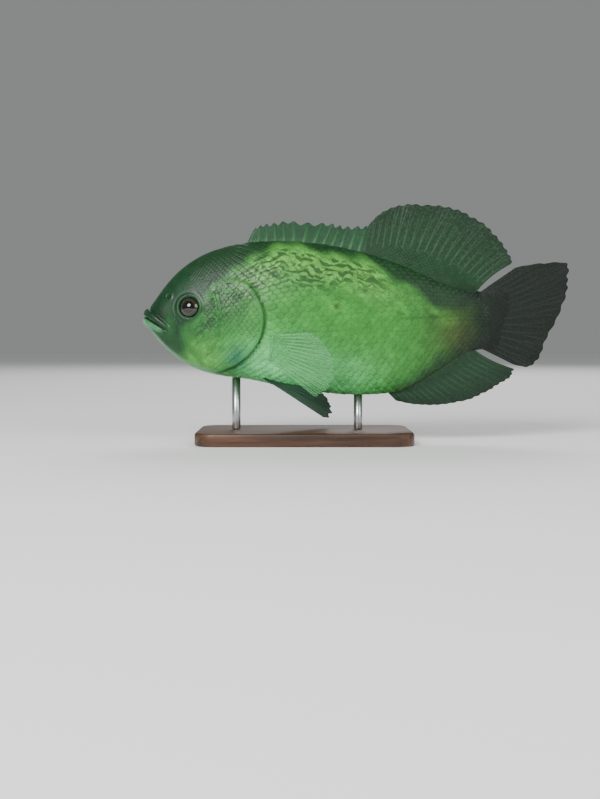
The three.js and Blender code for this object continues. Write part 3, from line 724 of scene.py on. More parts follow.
def flank_scales(side, rng):
    """Lays the scales of one side, from the cheek to the tail root."""
    s, angle, h, size, rate = scale_roots()
    keep = ~bare_skin(s, h, size)
    s, angle, h, size, rate = (values[keep] for values in (s, angle, h, size, rate))
    count = len(s)
    size = size * rng.uniform(*SCALE_SIZES, count)
    across, along, up = PLATE_CO.T
    plate_s = s[:, None] + along * (SCALE_LENGTH * size)[:, None]
    plate_angle = np.clip(angle[:, None] + across * (ROW_PITCH * size / rate)[:, None], 0.0, math.pi)
    signed = plate_angle if side > 0 else 2 * math.pi - plate_angle
    point, out, _ = body_frame(plate_s, signed)
    plate_h = outline_at(plate_s, signed)[1]
    # A scale's root lies in the skin and its free edge stands out of it, less so on the head.
    standing = (0.25 + 0.75 * eased(s, 32, 72))[:, None]
    edge_lift = SCALE_LIFT * (along * 1.25 - 0.25) * (0.6 + 0.4 * size[:, None])
    lift = standing * (edge_lift + SCALE_CROWN * up * size[:, None])
    lift += rng.uniform(-SCALE_JITTER, SCALE_JITTER, count)[:, None]
    # The scales of the lateral line carry a short tube each.
    off_line = np.min([np.hypot(s + 3 - line_s, h - line_h) for line_s, line_h in LATERAL_LINE], axis=0)
    tube = (off_line < TUBE_REACH)[:, None] * near(across, 0.3) * near(along - 0.65, 0.4)
    lift += TUBE_HEIGHT * tube
    smooth = folds(plate_s, plate_h) + lift
    root_s = np.broadcast_to(s[:, None] + 2, plate_s.shape)
    stiff = folds(root_s, np.broadcast_to(h[:, None], plate_s.shape)) + lift
    bridging = np.abs(behind_line(plate_s, plate_h, GILL_REAR)) < GILL_BRIDGE
    height = np.where(bridging, np.maximum(stiff, smooth), smooth)
    point = point + out * (height * MM)[..., None]
    root_u = (angle if side > 0 else 2 * math.pi - angle) / (2 * math.pi)
    root_v = np.interp(s, RING_STOPS, np.linspace(0, 1, len(RING_STOPS)))
    mesh = joined_plates("scales", count, point, np.column_stack([root_u, root_v]))
    tone = rng.uniform(*SCALE_SHADES, count)[:, None, None]
    shadow = 1 - RIM_SHADOW * (up[:, None] < RIM_BELOW) - TUBE_SHADOW * tube[..., None]
    colour = ground(plate_s, plate_h) * tone * shadow
    paint(mesh, ground=colour.reshape(-1, 3), marked=marked(plate_s, plate_h).reshape(-1),
          below=below_edge(plate_s, plate_h).reshape(-1))
    return mesh


SIDES = (("right", 1), ("left", -1))
scale_rng = np.random.default_rng(7)
for word, side in SIDES:
    finished(f"scales_{word}", flank_scales(side, scale_rng), SKIN_FINISH, "flank_skin")

# The eyes: firm glassy balls in round sockets, free of the skin, with a clear dome over the dark pupil.
# A dull amber and green ring shows round the pupil, and the rim of the socket holds each ball.
EYE_DEPTH = 4.6
EYE_SINK = 2.4
# The dome over the pupil, as shares of the ball's depth and radius.
DOME_RISE = 0.1
DOME_WIDTH = 0.6
# Colours of the eye by their distance from its middle, as a share of its radius.
IRIS_STOPS = [(0.58, 0x030403), (0.62, 0x44351A), (0.7, 0x2A2A16), (0.84, 0x161E12), (0.94, 0x080C08)]
# The flecks of a real iris are a few tenths of a millimetre wide, and are drawn a little coarser.
IRIS_FLECK = 0.7


def eye_finish():
    """A wet eyeball: pupil, ring and dark outer eye under a clear, smooth layer that gives a sharp gleam."""
    material, shader = new_material("wet_eye", Roughness=0.12, IOR=1.38, Coat_Weight=1.0, Coat_Roughness=0.02)
    ring = node(material, "Attribute", attribute_name="ring")
    ramp = node(material, "ValToRGB", [(0, ring.outputs["Fac"])])
    stops = ramp.color_ramp.elements
    for spot, colour in IRIS_STOPS:
        stop = stops.new(spot)
        stop.color = (*linear(colour), 1)
    stops.remove(stops[0])
    stops.remove(stops[-1])
    where = node(material, "TexCoord").outputs["Object"]
    fleck = node(material, "TexNoise", [(0, where)], Scale=1 / (IRIS_FLECK * MM), Detail=3.0)
    tint = node(material, "MapRange", [(0, fleck.outputs[0])], From_Min=0.3, From_Max=0.7, To_Min=0.6,
                To_Max=1.25)
    mixed = node(material, "Mix", [(6, ramp.outputs[0]), (7, tint.outputs[0])], data_type="RGBA",
                 blend_type="MULTIPLY", in_0=1.0)
    material.node_tree.links.new(mixed.outputs[2], shader.inputs["Base Color"])
    return material


EYE_FINISH = eye_finish()


def side_angle(s, h):
    """The angle round the body, on the right side, at which its skin is at height h."""
    middle = widest_at(s)
    reach = back_at(s) - middle if h > middle else middle - belly_at(s)
    return math.acos(float(np.clip((h - middle) / reach, -1, 1)))


eye_frame = body_frame(np.array([EYE_S]), np.array([side_angle(EYE_S, EYE_H)]))
for word, side in SIDES:
    socket, out, along = (value[0] for value in eye_frame)
    centre = socket - out * EYE_SINK * MM
    up = np.cross(along, out)
    bm = bmesh.new()
    bmesh.ops.create_uvsphere(bm, u_segments=48, v_segments=32, radius=1)
    ball = np.array([v.co for v in bm.verts])
    off_axis = np.hypot(ball[:, 0], ball[:, 1])
    outer = ball[:, 2] > 0
    dome = 1 + DOME_RISE * near(off_axis, DOME_WIDTH) * outer
    flat_part = (ball[:, :1] * along + ball[:, 1:2] * up) * EYE_RADIUS * MM
    deep_part = ball[:, 2:] * dome[:, None] * out * EYE_DEPTH * MM
    move_points(bm, (centre + flat_part + deep_part) * (1, side, 1))
    bmesh.ops.recalc_face_normals(bm, faces=bm.faces)
    mesh = to_mesh("eye", bm)
    paint(mesh, ring=np.where(outer, off_axis, 1))
    finished(f"eyeball_{word}", mesh, EYE_FINISH, "eye", f"eye_{word}")

# The spiny back fin: thirteen stiff bony spines along the front of the back, with two thin skins between
# them. Like every fin it grew out of the body, and its foot is let into it.
ROOT_SINK = 4
# Along the body the fins sway gently from side to side, and their free edges ripple.
FIN_WAVE_DEPTH = 1.6
FIN_WAVE_LENGTH = 160
RIPPLE_DEPTH = 0.5
RIPPLE_TURN = 31
# A fin thins from its foot to its web over this share of its reach.
FOOT_SHARE = 0.4
# The step over which a fin's directions are measured, as a share of its length or reach.
SHARE_STEP = 0.002
# Rays, as shares of the gap between two: half the width at the foot, what it loses to the tip, and how far
# the halves of a fork are spread at the tip. A ray's ridge loses RIDGE_TAPER of its height to the tip.
RAY_WIDTH = 0.115
RAY_TAPER = 0.045
FORK_SPREAD = 0.24
RIDGE_TAPER = 0.7
FORK_START = 0.3
# Forked rays rise out of the flesh of the foot between these shares of their length.
FLESH_END = (0.1, 0.5)
# Half the thickness of the free edge between the rays, and what a ray adds to it.
EDGE_WEB = 0.12
EDGE_RAY = 0.1
# The mottling and grain of a fin's skin are some tenths of a millimetre wide, and are drawn coarser to show.
MOTTLING = 1.5
WEB_GRAIN = 0.8
MOTTLE_GREEN = linear(0x326C38)


def fin_finish(name, web, ray, edge, mottle, web_alpha, joints):
    """Fin web: thin wet skin with a satin gleam, paler over the rays, darker to the edge, and mottled."""
    material, shader = new_material(name, Roughness=0.55, IOR=1.36, Coat_Weight=0.08, Coat_Roughness=0.3)
    where = node(material, "TexCoord").outputs["Object"]
    on_ray = node(material, "Attribute", attribute_name="ray")
    out = node(material, "Attribute", attribute_name="reach")
    cloud = node(material, "TexNoise", [(0, where)], Scale=1 / (MOTTLING * MM), Detail=3.0, Roughness=0.6)
    spots = node(material, "MapRange", [(0, cloud.outputs[0])], From_Min=0.48, From_Max=0.68, To_Min=0.0,
                 To_Max=mottle)
    first = node(material, "Mix", [(0, on_ray.outputs["Fac"])], data_type="RGBA", in_6=(*linear(web), 1),
                 in_7=(*linear(ray), 1))
    fade = node(material, "MapRange", [(0, out.outputs["Fac"])], From_Min=0.35, From_Max=1.0, To_Min=0.0,
                To_Max=0.85)
    second = node(material, "Mix", [(0, fade.outputs[0]), (6, first.outputs[2])], data_type="RGBA",
                  in_7=(*linear(edge), 1))
    third = node(material, "Mix", [(0, spots.outputs[0]), (6, second.outputs[2])], data_type="RGBA",
                 in_7=(*MOTTLE_GREEN, 1))
    material.node_tree.links.new(third.outputs[2], shader.inputs["Base Color"])
    if web_alpha < 1:
        clear = node(material, "MapRange", [(0, on_ray.outputs["Fac"])], From_Min=0.0, From_Max=0.8,
                     To_Min=web_alpha, To_Max=1.0)
        material.node_tree.links.new(clear.outputs[0], shader.inputs["Alpha"])
    joint_at = node(material, "Math", [(0, out.outputs["Fac"])], operation="MULTIPLY",
                    in_1=joints * 2 * math.pi)
    joint = node(material, "Math", [(0, joint_at.outputs[0])], operation="SINE")
    on_joint = node(material, "Math", [(0, joint.outputs[0]), (1, on_ray.outputs["Fac"])],
                    operation="MULTIPLY")
    grain = node(material, "TexNoise", [(0, where)], Scale=1 / (WEB_GRAIN * MM), Detail=2.0)
    height = node(material, "Math", [(0, on_joint.outputs[0]), (2, grain.outputs[0])],
                  operation="MULTIPLY_ADD", in_1=1.5)
    bump = node(material, "Bump", [("Height", height.outputs[0])], Strength=0.1, Distance=0.3 * MM)
    material.node_tree.links.new(bump.outputs[0], shader.inputs["Normal"])
    return material


def fin_surface(at, u, out):
    """Points of a fin's middle sheet, and the way out of it to its right."""
    wide = at(np.minimum(1, u + SHARE_STEP), out) - at(np.maximum(0, u - SHARE_STEP), out)
    tall = at(u, out + SHARE_STEP) - at(u, out - SHARE_STEP)
    return at(u, out), unit(np.cross(wide, tall))


def web_half(halves, out):
    """Half the thickness of a fin between its rays, from that at its foot to that of the web."""
    foot, web = halves
    return web + (foot - web) * (1 - eased(out, 0, FOOT_SHARE))


def fin_mesh(name, at, halves, rays, steps, rows, ridge, forked, notch, ragged, rng, fleshy=0):
    """A closed sheet whose columns run with the rays. Each ray is a ridge on both faces, and may be forked.

    Each gap between rays has a number of steps, and the free edge is notched and ragged by shares of the
    fin's reach. A fleshy fin has solid flesh over its rays for that share of its reach.
    """
    bm = bmesh.new()
    bmesh.ops.create_grid(bm, x_segments=rays * steps, y_segments=rows, size=0.5)
    bmesh.ops.solidify(bm, geom=bm.faces, thickness=0.1)
    flat = np.array([v.co for v in bm.verts])
    u = np.rint((flat[:, 0] + 0.5) * rays * steps) / (rays * steps)
    v = np.rint((flat[:, 1] + 0.5) * rows) / rows
    face = np.where(np.abs(flat[:, 2]) > 0.05, 1, -1)
    across = np.clip(u * rays - np.minimum(np.floor(u * rays), rays - 1), 0, 1) - 0.5
    fork = forked * FORK_SPREAD * eased(v, FORK_START, 1.0)
    width = RAY_WIDTH - RAY_TAPER * v
    on_ray = np.maximum(near(across - fork, width), near(across + fork, width))
    tear = np.interp(u * rays, np.arange(rays + 1), rng.uniform(-1, 1, rays + 1))
    out = v * (1 - notch * (1 - np.cos(2 * math.pi * across)) / 2 + ragged * tear)
    point, normal = fin_surface(at, u, out)
    bare = eased(v, *FLESH_END) if forked else 1
    half = web_half(halves, out) + ridge * (1 - RIDGE_TAPER * v) * on_ray * bare
    half = np.where(v == 1, np.minimum(half, EDGE_WEB + EDGE_RAY * on_ray), half)
    move_points(bm, point + normal * (face * half * MM)[:, None])
    bmesh.ops.recalc_face_normals(bm, faces=bm.faces)
    mesh = to_mesh(name, bm)
    flesh = 1 - eased(v, 0.3 * fleshy, fleshy) if fleshy else 0
    paint(mesh, ray=np.maximum(on_ray * bare * (1 - 0.5 * v), flesh), reach=v)
    return mesh


def midline_fin(foot_at, tips, bow=0, lean=0, upward=1):
    """Where a fin of the midline has the ray at u, at v of its reach. It may bow and lean aside."""
    def at(u, v):
        tip = spline(tips, u)
        s, h = foot_at(np.clip(u, 0, 1))
        bend = bow * u * np.sin(math.pi * np.clip(v, 0, 1))
        wave = FIN_WAVE_DEPTH * np.sin(2 * math.pi * s / FIN_WAVE_LENGTH)
        ripple = RIPPLE_DEPTH * np.sin(RIPPLE_TURN * u + 1) * v**2
        sway = (wave + lean * u**3 + ripple) * v * v
        return place(s + (tip[..., 0] - s) * v - bend, sway, h + (tip[..., 1] - h) * v + bend * upward)
    return at


def foot_line(start, end, line_at, sink):
    """The foot of a fin that stands along the back or under the belly."""
    def at(u):
        s = start + (end - start) * u
        return s, line_at(s) - sink
    return at


SPINY_TIPS = [(77, 64.5), (86, 67.5), (102, 69), (127, 67.5), (142, 65.5), (157.6, 66)]
SPINY_HALVES = (1.2, 0.14)
SPINY_FINISH = fin_finish("clear_green_web", web=0x1C4A2A, ray=0x336C3A, edge=0x194026, mottle=0.3,
                          web_alpha=0.8, joints=0)
fin_rng = np.random.default_rng(11)
spiny_at = midline_fin(foot_line(70, 152.4, back_at, ROOT_SINK), SPINY_TIPS)
spiny_mesh = fin_mesh("spiny_back_fin", spiny_at, SPINY_HALVES, rays=13, steps=12, rows=30, ridge=0.5,
                      forked=False, notch=0.12, ragged=0.03, rng=fin_rng)
finished("spiny_back_fin", spiny_mesh, SPINY_FINISH, "fin", "dorsal_fin_spiny")

# The soft back fin: twenty jointed rays that fork towards the edge, under two thin skins.
# It goes on from the spiny one to the tail root, as a high round lobe.
SOFT_TIPS = [(157, 66.5), (166, 75), (178, 80), (192, 81), (210, 80), (224, 76), (237, 68.5), (248, 59),
             (256, 48), (258.5, 40)]
SOFT_HALVES = (1.4, 0.15)
SOFT_FINISH = fin_finish("dark_green_web", web=0x12321B, ray=0x1C482A, edge=0x0C2112, mottle=0.3,
                         web_alpha=1.0, joints=45)
soft_at = midline_fin(foot_line(151.6, 231, back_at, ROOT_SINK), SOFT_TIPS, bow=1.5, lean=-2.5)
soft_mesh = fin_mesh("soft_back_fin", soft_at, SOFT_HALVES, rays=20, steps=14, rows=54, ridge=0.42,
                     forked=True, notch=0.02, ragged=0.012, rng=fin_rng)
finished("soft_back_fin", soft_mesh, SOFT_FINISH, "fin", "dorsal_fin_soft")

# The tail fin: a broad fan of sixteen forked rays under two thin skins, thick where it is let into the body.
# Its foot is a shallow arc over the end of the spine.
TAIL_FOOT_S = 234
TAIL_FOOT_ARC = 5
TAIL_FOOT_HEIGHT = 18.5
TAIL_TIPS = [(262, 37.5), (281, 40.5), (299, 40.2), (300, 30), (299, 19), (292, 2), (284, -14),
             (279.5, -27), (271, -33), (261, -31.5)]
TAIL_HALVES = (3.0, 0.16)
TAIL_FINISH = fin_finish("black_green_web", web=0x0A130D, ray=0x142117, edge=0x060B08, mottle=0.08,
                         web_alpha=1.0, joints=45)


def tail_foot(u):
    """The foot of the tail fin, from the upper ray (0) to the lower one (1)."""
    return TAIL_FOOT_S + TAIL_FOOT_ARC * np.cos(math.pi * (u - 0.5)), TAIL_FOOT_HEIGHT * (1 - 2 * u)


tail_at = midline_fin(tail_foot, TAIL_TIPS)
tail_mesh = fin_mesh("tail_fin", tail_at, TAIL_HALVES, rays=16, steps=14, rows=50, ridge=0.48, forked=True,
                     notch=0.02, ragged=0.012, rng=fin_rng)
finished("tail_fin", tail_mesh, TAIL_FINISH, "fin", "caudal_fin")

# The anal fin: eighteen forked rays under two thin skins, let into the rear of the belly.
# It trails back in a round lobe, shallower than that of the soft back fin.
ANAL_TIPS = [(177, -57), (190, -59.5), (205, -60.2), (220, -58.5), (235, -54), (247, -47.5), (257, -41),
             (260.5, -34.5)]
ANAL_HALVES = (1.4, 0.15)
ANAL_FINISH = fin_finish("deep_green_web", web=0x16321F, ray=0x224A2E, edge=0x0D2014, mottle=0.15,
                         web_alpha=1.0, joints=40)
anal_at = midline_fin(foot_line(168, 229, belly_at, -ROOT_SINK), ANAL_TIPS, bow=1.25, lean=-5, upward=-1)
anal_mesh = fin_mesh("anal_fin_web", anal_at, ANAL_HALVES, rays=18, steps=14, rows=44, ridge=0.42,
                     forked=True, notch=0.02, ragged=0.012, rng=fin_rng)
finished("anal_fin_web", anal_mesh, ANAL_FINISH, "fin", "anal_fin")

# The scaled feet of the soft fins: small scales of the flank run out between the rays, over the first part
# of each fin, so that fin and body pass into each other.
FIN_SCALE = 2.9
FIN_SCALE_LENGTH = 1.15 * FIN_SCALE
# The first row lies inside the body, by this share of the fin's reach.
FIRST_ROW = -0.04
FIN_SCALE_SHADES = (0.88, 1.1)
FIN_RIM_SHADOW = 0.2
# How far a scale's edge, its crown and the whole scale stand off the fin, and how much more at its foot.
FIN_SCALE_LIFT = 0.2
FIN_SCALE_CROWN = 0.24
FIN_SCALE_GAP = 0.05
FOOT_LIFT = 0.5
FOOT_LIFT_REACH = 0.06


def fin_scales(name, at, halves, width, length, reach, tint_at, rng):
    """Rows of small plates on both faces of a fin.

    The scaled part is so many millimetres wide and long, which is that share of the fin's reach.
    """
    across = int(width / FIN_SCALE)
    rows = int(length / (0.5 * FIN_SCALE))
    roots = [(((i + 0.5 * (j % 2)) + 0.5) / (across + 0.5), FIRST_ROW + reach * j / rows, face)
             for face in (-1, 1) for j in range(rows) for i in range(across)]
    u, v, face = np.array(roots).T
    ragged_edge = reach * (0.7 + 0.3 * np.sin(37 * u) ** 2)
    keep = (v < ragged_edge) & (np.abs(u - 0.5) < 0.5 - 0.8 / across)
    u, v, face = (values[keep] for values in (u, v, face))
    aside, along, up = PLATE_CO.T
    plate_u = np.clip(u[:, None] + aside * 0.5 / across, 0, 1)
    plate_v = v[:, None] + along * reach / length * FIN_SCALE_LENGTH
    point, normal = fin_surface(at, plate_u, plate_v)
    lift = (web_half(halves, plate_v) + FIN_SCALE_LIFT * along + FIN_SCALE_CROWN * up + FIN_SCALE_GAP
            + FOOT_LIFT * near(plate_v, FOOT_LIFT_REACH))
    point = point + normal * (lift * face[:, None] * MM)[..., None]
    # Each face takes its own half of the skin's unwrap.
    uv_root = np.column_stack([0.25 + 0.5 * (face > 0) + 0.4 * (u - 0.5), 0.1 + 0.8 * v])
    mesh = joined_plates(name, len(u), point, uv_root)
    bm = bmesh.new()
    bm.from_mesh(mesh)
    bmesh.ops.recalc_face_normals(bm, faces=bm.faces)
    bm.to_mesh(mesh)
    bm.free()
    place_mm = point / MM
    tone = rng.uniform(*FIN_SCALE_SHADES, len(u))[:, None, None]
    shadow = 1 - FIN_RIM_SHADOW * (up[:, None] < RIM_BELOW)
    colour = tint_at(place_mm[..., 0] - SNOUT_X, place_mm[..., 2] - AXIS_HEIGHT, plate_v / reach)
    unmarked = np.zeros(plate_v.size)
    paint(mesh, ground=(colour * tone * shadow).reshape(-1, 3), marked=unmarked, below=unmarked)
    return mesh


def fading_to(web):
    """Colours that pass from those of the body to those of the web."""
    def tint(s, h, share):
        faded = eased(share, 0, 0.8)[..., None]
        return ground(np.minimum(s, BODY_LENGTH), h) * (1 - faded) + linear(web) * faded
    return tint


soft_scales = fin_scales("soft_back_fin_scales", soft_at, SOFT_HALVES, width=84, length=19, reach=0.34,
                         tint_at=fading_to(0x163A20), rng=fin_rng)
finished("soft_back_fin_scales", soft_scales, SKIN_FINISH, "fin")
tail_scales = fin_scales("tail_fin_scales", tail_at, TAIL_HALVES, width=38, length=17.5, reach=0.32,
                         tint_at=fading_to(0x08130C), rng=fin_rng)
finished("tail_fin_scales", tail_scales, SKIN_FINISH, "fin")
anal_scales = fin_scales("anal_fin_scales", anal_at, ANAL_HALVES, width=66, length=9, reach=0.28,
                         tint_at=fading_to(0x193621), rng=fin_rng)
finished("anal_fin_scales", anal_scales, SKIN_FINISH, "fin")

# The paired fins, thin skins over forked rays like the others. The clear breast fins stand behind the gill
# covers on a short fleshy root, held out and cupped to steer. The pelvic fins, a short spine and five soft
# rays each, are rooted under the breast and trail back and down.
BREAST_ROOT_S = 84
BREAST_ROOT_TOP = -11
BREAST_ROOT_HEIGHT = 14
BREAST_SINK = 2.5
BREAST_LENGTH = 56
BREAST_PITCH = 4
BREAST_SPREAD = 40
BREAST_YAW = math.radians(24)
BREAST_CUP = 5
BREAST_RIPPLE = 0.5
BREAST_HALVES = (0.65, 0.1)
BREAST_FINISH = fin_finish("pale_clear_web", web=0x56AA62, ray=0x74C47A, edge=0x54A062, mottle=0.0,
                           web_alpha=0.18, joints=0)
PELVIC_ROOT_S = 80
PELVIC_ROOT_LENGTH = 10
PELVIC_ROOT_SIDE = 11
PELVIC_ROOT_TURN = 4
PELVIC_SINK = 5
PELVIC_LENGTH = 57
PELVIC_DROOP = 33
PELVIC_SPREAD = 21
PELVIC_SPLAY = math.radians(6)
PELVIC_RIPPLE = 0.6
PELVIC_HALVES = (0.8, 0.12)
PELVIC_FINISH = fin_finish("sea_green_web", web=0x183C27, ray=0x285238, edge=0x0F261A, mottle=0.12,
                           web_alpha=0.9, joints=40)


def breast_fin_at(mirror):
    """Where a breast fin has the ray at u, from its upper one, at v of its reach."""
    def at(u, v):
        h = BREAST_ROOT_TOP - BREAST_ROOT_HEIGHT * u
        pitch = np.radians(BREAST_PITCH - BREAST_SPREAD * u)
        # The fan is longest a little below its middle, and shortest at its upper edge.
        fan = 0.5 + 0.5 * np.abs(np.sin(math.pi * (0.22 + 0.72 * (1 - u)))) ** 0.8
        reach = BREAST_LENGTH * fan * v
        middle = widest_at(BREAST_ROOT_S)
        oval = np.where(h > middle, back_at(BREAST_ROOT_S) - middle, middle - belly_at(BREAST_ROOT_S))
        upward = (h - middle) / oval
        flank = width_at(BREAST_ROOT_S) * np.sqrt(1 - upward * upward) ** BELLY_SHARPNESS
        side = (flank - BREAST_SINK + reach * math.sin(BREAST_YAW) - BREAST_CUP * v * v
                + BREAST_RIPPLE * np.sin(17 * u) * v * v)
        s = BREAST_ROOT_S + reach * np.cos(pitch) * math.cos(BREAST_YAW)
        return place(s, side, h + reach * np.sin(pitch)) * (1, mirror, 1)
    return at


def pelvic_fin_at(mirror):
    """Where a pelvic fin has the ray at u, from its spine, at v of its reach."""
    def at(u, v):
        s = PELVIC_ROOT_S + PELVIC_ROOT_LENGTH * u
        droop = np.radians(PELVIC_DROOP - PELVIC_SPREAD * u)
        reach = PELVIC_LENGTH * (0.5 + 0.5 * np.cos(math.pi * 0.5 * u)) * v
        side = (PELVIC_ROOT_SIDE - PELVIC_ROOT_TURN * u + reach * math.tan(PELVIC_SPLAY)
                + PELVIC_RIPPLE * np.sin(9 * u) * v * v)
        h = belly_at(s) + PELVIC_SINK - reach * np.sin(droop)
        return place(s + reach * np.cos(droop), side, h) * (1, mirror, 1)
    return at


for word, mirror in SIDES:
    mesh = fin_mesh("breast_fin", breast_fin_at(mirror), BREAST_HALVES, rays=14, steps=10, rows=36,
                    ridge=0.26, forked=True, notch=0.03, ragged=0.012, rng=fin_rng, fleshy=0.15)
    finished(f"breast_fin_{word}", mesh, BREAST_FINISH, "clear_fin", f"pectoral_fin_{word}")
    mesh = fin_mesh("belly_fin", pelvic_fin_at(mirror), PELVIC_HALVES, rays=6, steps=14, rows=40, ridge=0.4,
                    forked=True, notch=0.04, ragged=0.02, rng=fin_rng)
    finished(f"belly_fin_{word}", mesh, PELVIC_FINISH, "fin", f"pelvic_fin_{word}")

# The base: a solid walnut plate with rounded corners and edges, sanded and oiled.
# It lies flat on its underside, and both rods stand on it.
BASE_CORNER = 14
BASE_EDGE = 1.6
# The bands of walnut's grain are some millimetres wide and run along the plate. Its pores are about 0.2 mm
# wide, too fine to show, and are drawn at 0.7 mm.
GRAIN_WIDTH = 5
GRAIN_RUN = 75
PORE_WIDTH = 0.7
PORE_RUN = 17


def oiled_walnut():
    """Oiled walnut: dark straight grain with fine open pores, and a satin gleam from the oil."""
    material, shader = new_material("oiled_walnut", Roughness=0.42, IOR=1.5)
    where = node(material, "TexCoord").outputs["Object"]
    grain_at = node(material, "Mapping", [(0, where)],
                    Scale=(1 / (GRAIN_RUN * MM), 1 / (GRAIN_WIDTH * MM), 1 / (GRAIN_WIDTH * MM)))
    grain = node(material, "TexNoise", [(0, grain_at.outputs[0])], Scale=1.0, Detail=6.0, Roughness=0.6)
    ramp = node(material, "ValToRGB", [(0, grain.outputs[0])])
    dark_stop, pale_stop = ramp.color_ramp.elements
    dark_stop.position = 0.32
    dark_stop.color = (*linear(0x2A1810), 1)
    pale_stop.position = 0.72
    pale_stop.color = (*linear(0x6A4630), 1)
    material.node_tree.links.new(ramp.outputs[0], shader.inputs["Base Color"])
    pores_at = node(material, "Mapping", [(0, where)],
                    Scale=(1 / (PORE_RUN * MM), 1 / (PORE_WIDTH * MM), 1 / (PORE_WIDTH * MM)))
    pores = node(material, "TexNoise", [(0, pores_at.outputs[0])], Scale=1.0, Detail=2.0)
    bump = node(material, "Bump", [("Height", pores.outputs[0])], Strength=0.1, Distance=0.2 * MM)
    material.node_tree.links.new(bump.outputs[0], shader.inputs["Normal"])
    return material


def rise(edge):
    """How far an edge climbs."""
    return abs(edge.verts[0].co.z - edge.verts[1].co.z)


base_low, base_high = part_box("stand_base")
bm = bmesh.new()
bmesh.ops.create_cube(bm, size=1)
for vertex in bm.verts:
    vertex.co = Vector((0.5 + c for c in vertex.co)) * (base_high - base_low) + base_low
uprights = [e for e in bm.edges if rise(e) > MM]
bmesh.ops.bevel(bm, geom=uprights, offset=BASE_CORNER * MM, segments=10, affect="EDGES", profile=0.5,
                material=-1)
rims = [e for e in bm.edges if rise(e) < MM / 100]
bmesh.ops.bevel(bm, geom=rims, offset=BASE_EDGE * MM, segments=3, affect="EDGES", profile=0.5, material=-1)
finished("walnut_base", to_mesh("walnut_base", bm), oiled_walnut(), "stand_wood", "stand_base")

# The rods: round steel bar, ground and brushed, one in front and one behind.
# Each stands on the base on a slightly rounded foot, and its top is let a little way into the belly.
ROD_SIDES = 48
ROD_ROUNDING = 0.5
# Real brush marks are some hundredths of a millimetre wide, and are drawn coarser to show.
SCRATCH_LENGTH = 5
SCRATCH_WIDTH = 0.11


def brushed_steel():
    """Brushed steel rod: fine scratches round the bar, which spread its gleam."""
    material, shader = new_material("brushed_steel", Base_Color=(*linear(0xC2C5C6), 1), Metallic=1.0,
                                    Roughness=0.3)
    where = node(material, "TexCoord").outputs["Object"]
    scratches_at = node(material, "Mapping", [(0, where)],
                        Scale=(1 / (SCRATCH_LENGTH * MM), 1 / (SCRATCH_LENGTH * MM),
                               1 / (SCRATCH_WIDTH * MM)))
    scratches = node(material, "TexNoise", [(0, scratches_at.outputs[0])], Scale=1.0, Detail=2.0)
    bump = node(material, "Bump", [("Height", scratches.outputs[0])], Strength=0.1, Distance=0.1 * MM)
    material.node_tree.links.new(bump.outputs[0], shader.inputs["Normal"])
    return material


STEEL = brushed_steel()
for word in ("front", "rear"):
    low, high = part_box(f"stand_rod_{word}")
    radius = (high.x - low.x) / 2
    bm = bmesh.new()
    bmesh.ops.create_cone(bm, cap_ends=True, segments=ROD_SIDES, radius1=radius, radius2=radius,
                          depth=high.z - low.z)
    foot = [e for e in bm.edges if e.verts[0].co.z < 0 and e.verts[1].co.z < 0]
    bmesh.ops.bevel(bm, geom=foot, offset=ROD_ROUNDING * MM, segments=2, affect="EDGES", profile=0.5,
                    material=-1)
    bmesh.ops.translate(bm, verts=bm.verts, vec=(low + high) / 2)
    finished(f"steel_rod_{word}", to_mesh("rod", bm), STEEL, "stand_steel", f"stand_rod_{word}")

# The floor: a plain pale sweep of matt paper that isn't part of the fish or its stand.
# It is flat, and reaches far past what the camera sees.
FLOOR_REACH = 6000

bm = bmesh.new()
bmesh.ops.create_grid(bm, x_segments=1, y_segments=1, size=FLOOR_REACH * MM)
floor_mesh = to_mesh("floor", bm)
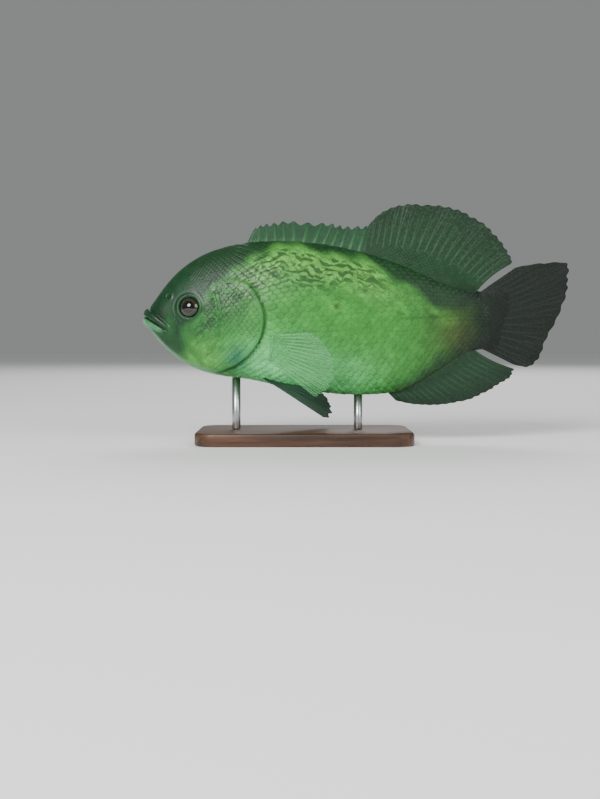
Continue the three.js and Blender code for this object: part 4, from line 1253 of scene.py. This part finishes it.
# Matt paper spreads the light evenly, without a gleam.
floor_finish, _ = new_material("matt_pale_paper", Roughness=0.9, Base_Color=(*linear(0xFDFEFC), 1))
floor_mesh.materials.append(floor_finish)
floor = bpy.data.objects.new("floor", floor_mesh)
bpy.context.scene.collection.objects.link(floor)

# The light: a large soft lamp above and ahead of the fish, a weaker one from the tail side, one over its
# far side, and a pale room. All three lamps are round soft boxes turned to the fish.
ROOM_STRENGTH = 0.34
LOOK_AT = Vector((-3, 0, 30)) * MM
LAMP_AIM = LOOK_AT + Vector((0, 0, 60)) * MM
# Name, place and width in metres, and power in watts.
LAMPS = [("key", (-0.6, -1.35, 0.95), 0.8, 32),
         ("fill", (1.2, -1.1, 0.8), 1.0, 11),
         ("rim", (0.3, 1.7, 1.5), 1.2, 20)]
world = bpy.data.worlds.new("pale_room")
world.use_nodes = True
room = world.node_tree.nodes["Background"]
room.inputs["Color"].default_value = (*linear(0xDDE3E0), 1)
room.inputs["Strength"].default_value = ROOM_STRENGTH
bpy.context.scene.world = world
for name, spot, width, power in LAMPS:
    lamp = bpy.data.lights.new(name, "AREA")
    lamp.shape = "DISK"
    lamp.size = width
    lamp.energy = power
    lamp_object = bpy.data.objects.new(name, lamp)
    lamp_object.location = spot
    lamp_object.rotation_euler = (LAMP_AIM - Vector(spot)).to_track_quat("-Z", "Y").to_euler()
    bpy.context.scene.collection.objects.link(lamp_object)

# The camera: three degrees over level with the flank and a little over two and a half lengths of the fish
# away, as the picture was taken. The lens frames the whole fish and its stand.
VIEW_DISTANCE = 778
VIEW_LIFT = math.radians(3.0)
SENSOR_WIDTH = 36
FOCAL_LENGTH = 49.6
camera_data = bpy.data.cameras.new("camera")
camera_data.sensor_width = SENSOR_WIDTH
camera_data.lens = FOCAL_LENGTH
camera = bpy.data.objects.new("camera", camera_data)
away = Vector((0, -math.cos(VIEW_LIFT), math.sin(VIEW_LIFT)))
camera.location = LOOK_AT + away * VIEW_DISTANCE * MM
camera.rotation_euler = (LOOK_AT - camera.location).to_track_quat("-Z", "Y").to_euler()
bpy.context.scene.collection.objects.link(camera)
bpy.context.scene.camera = camera

bpy.context.view_layer.update()
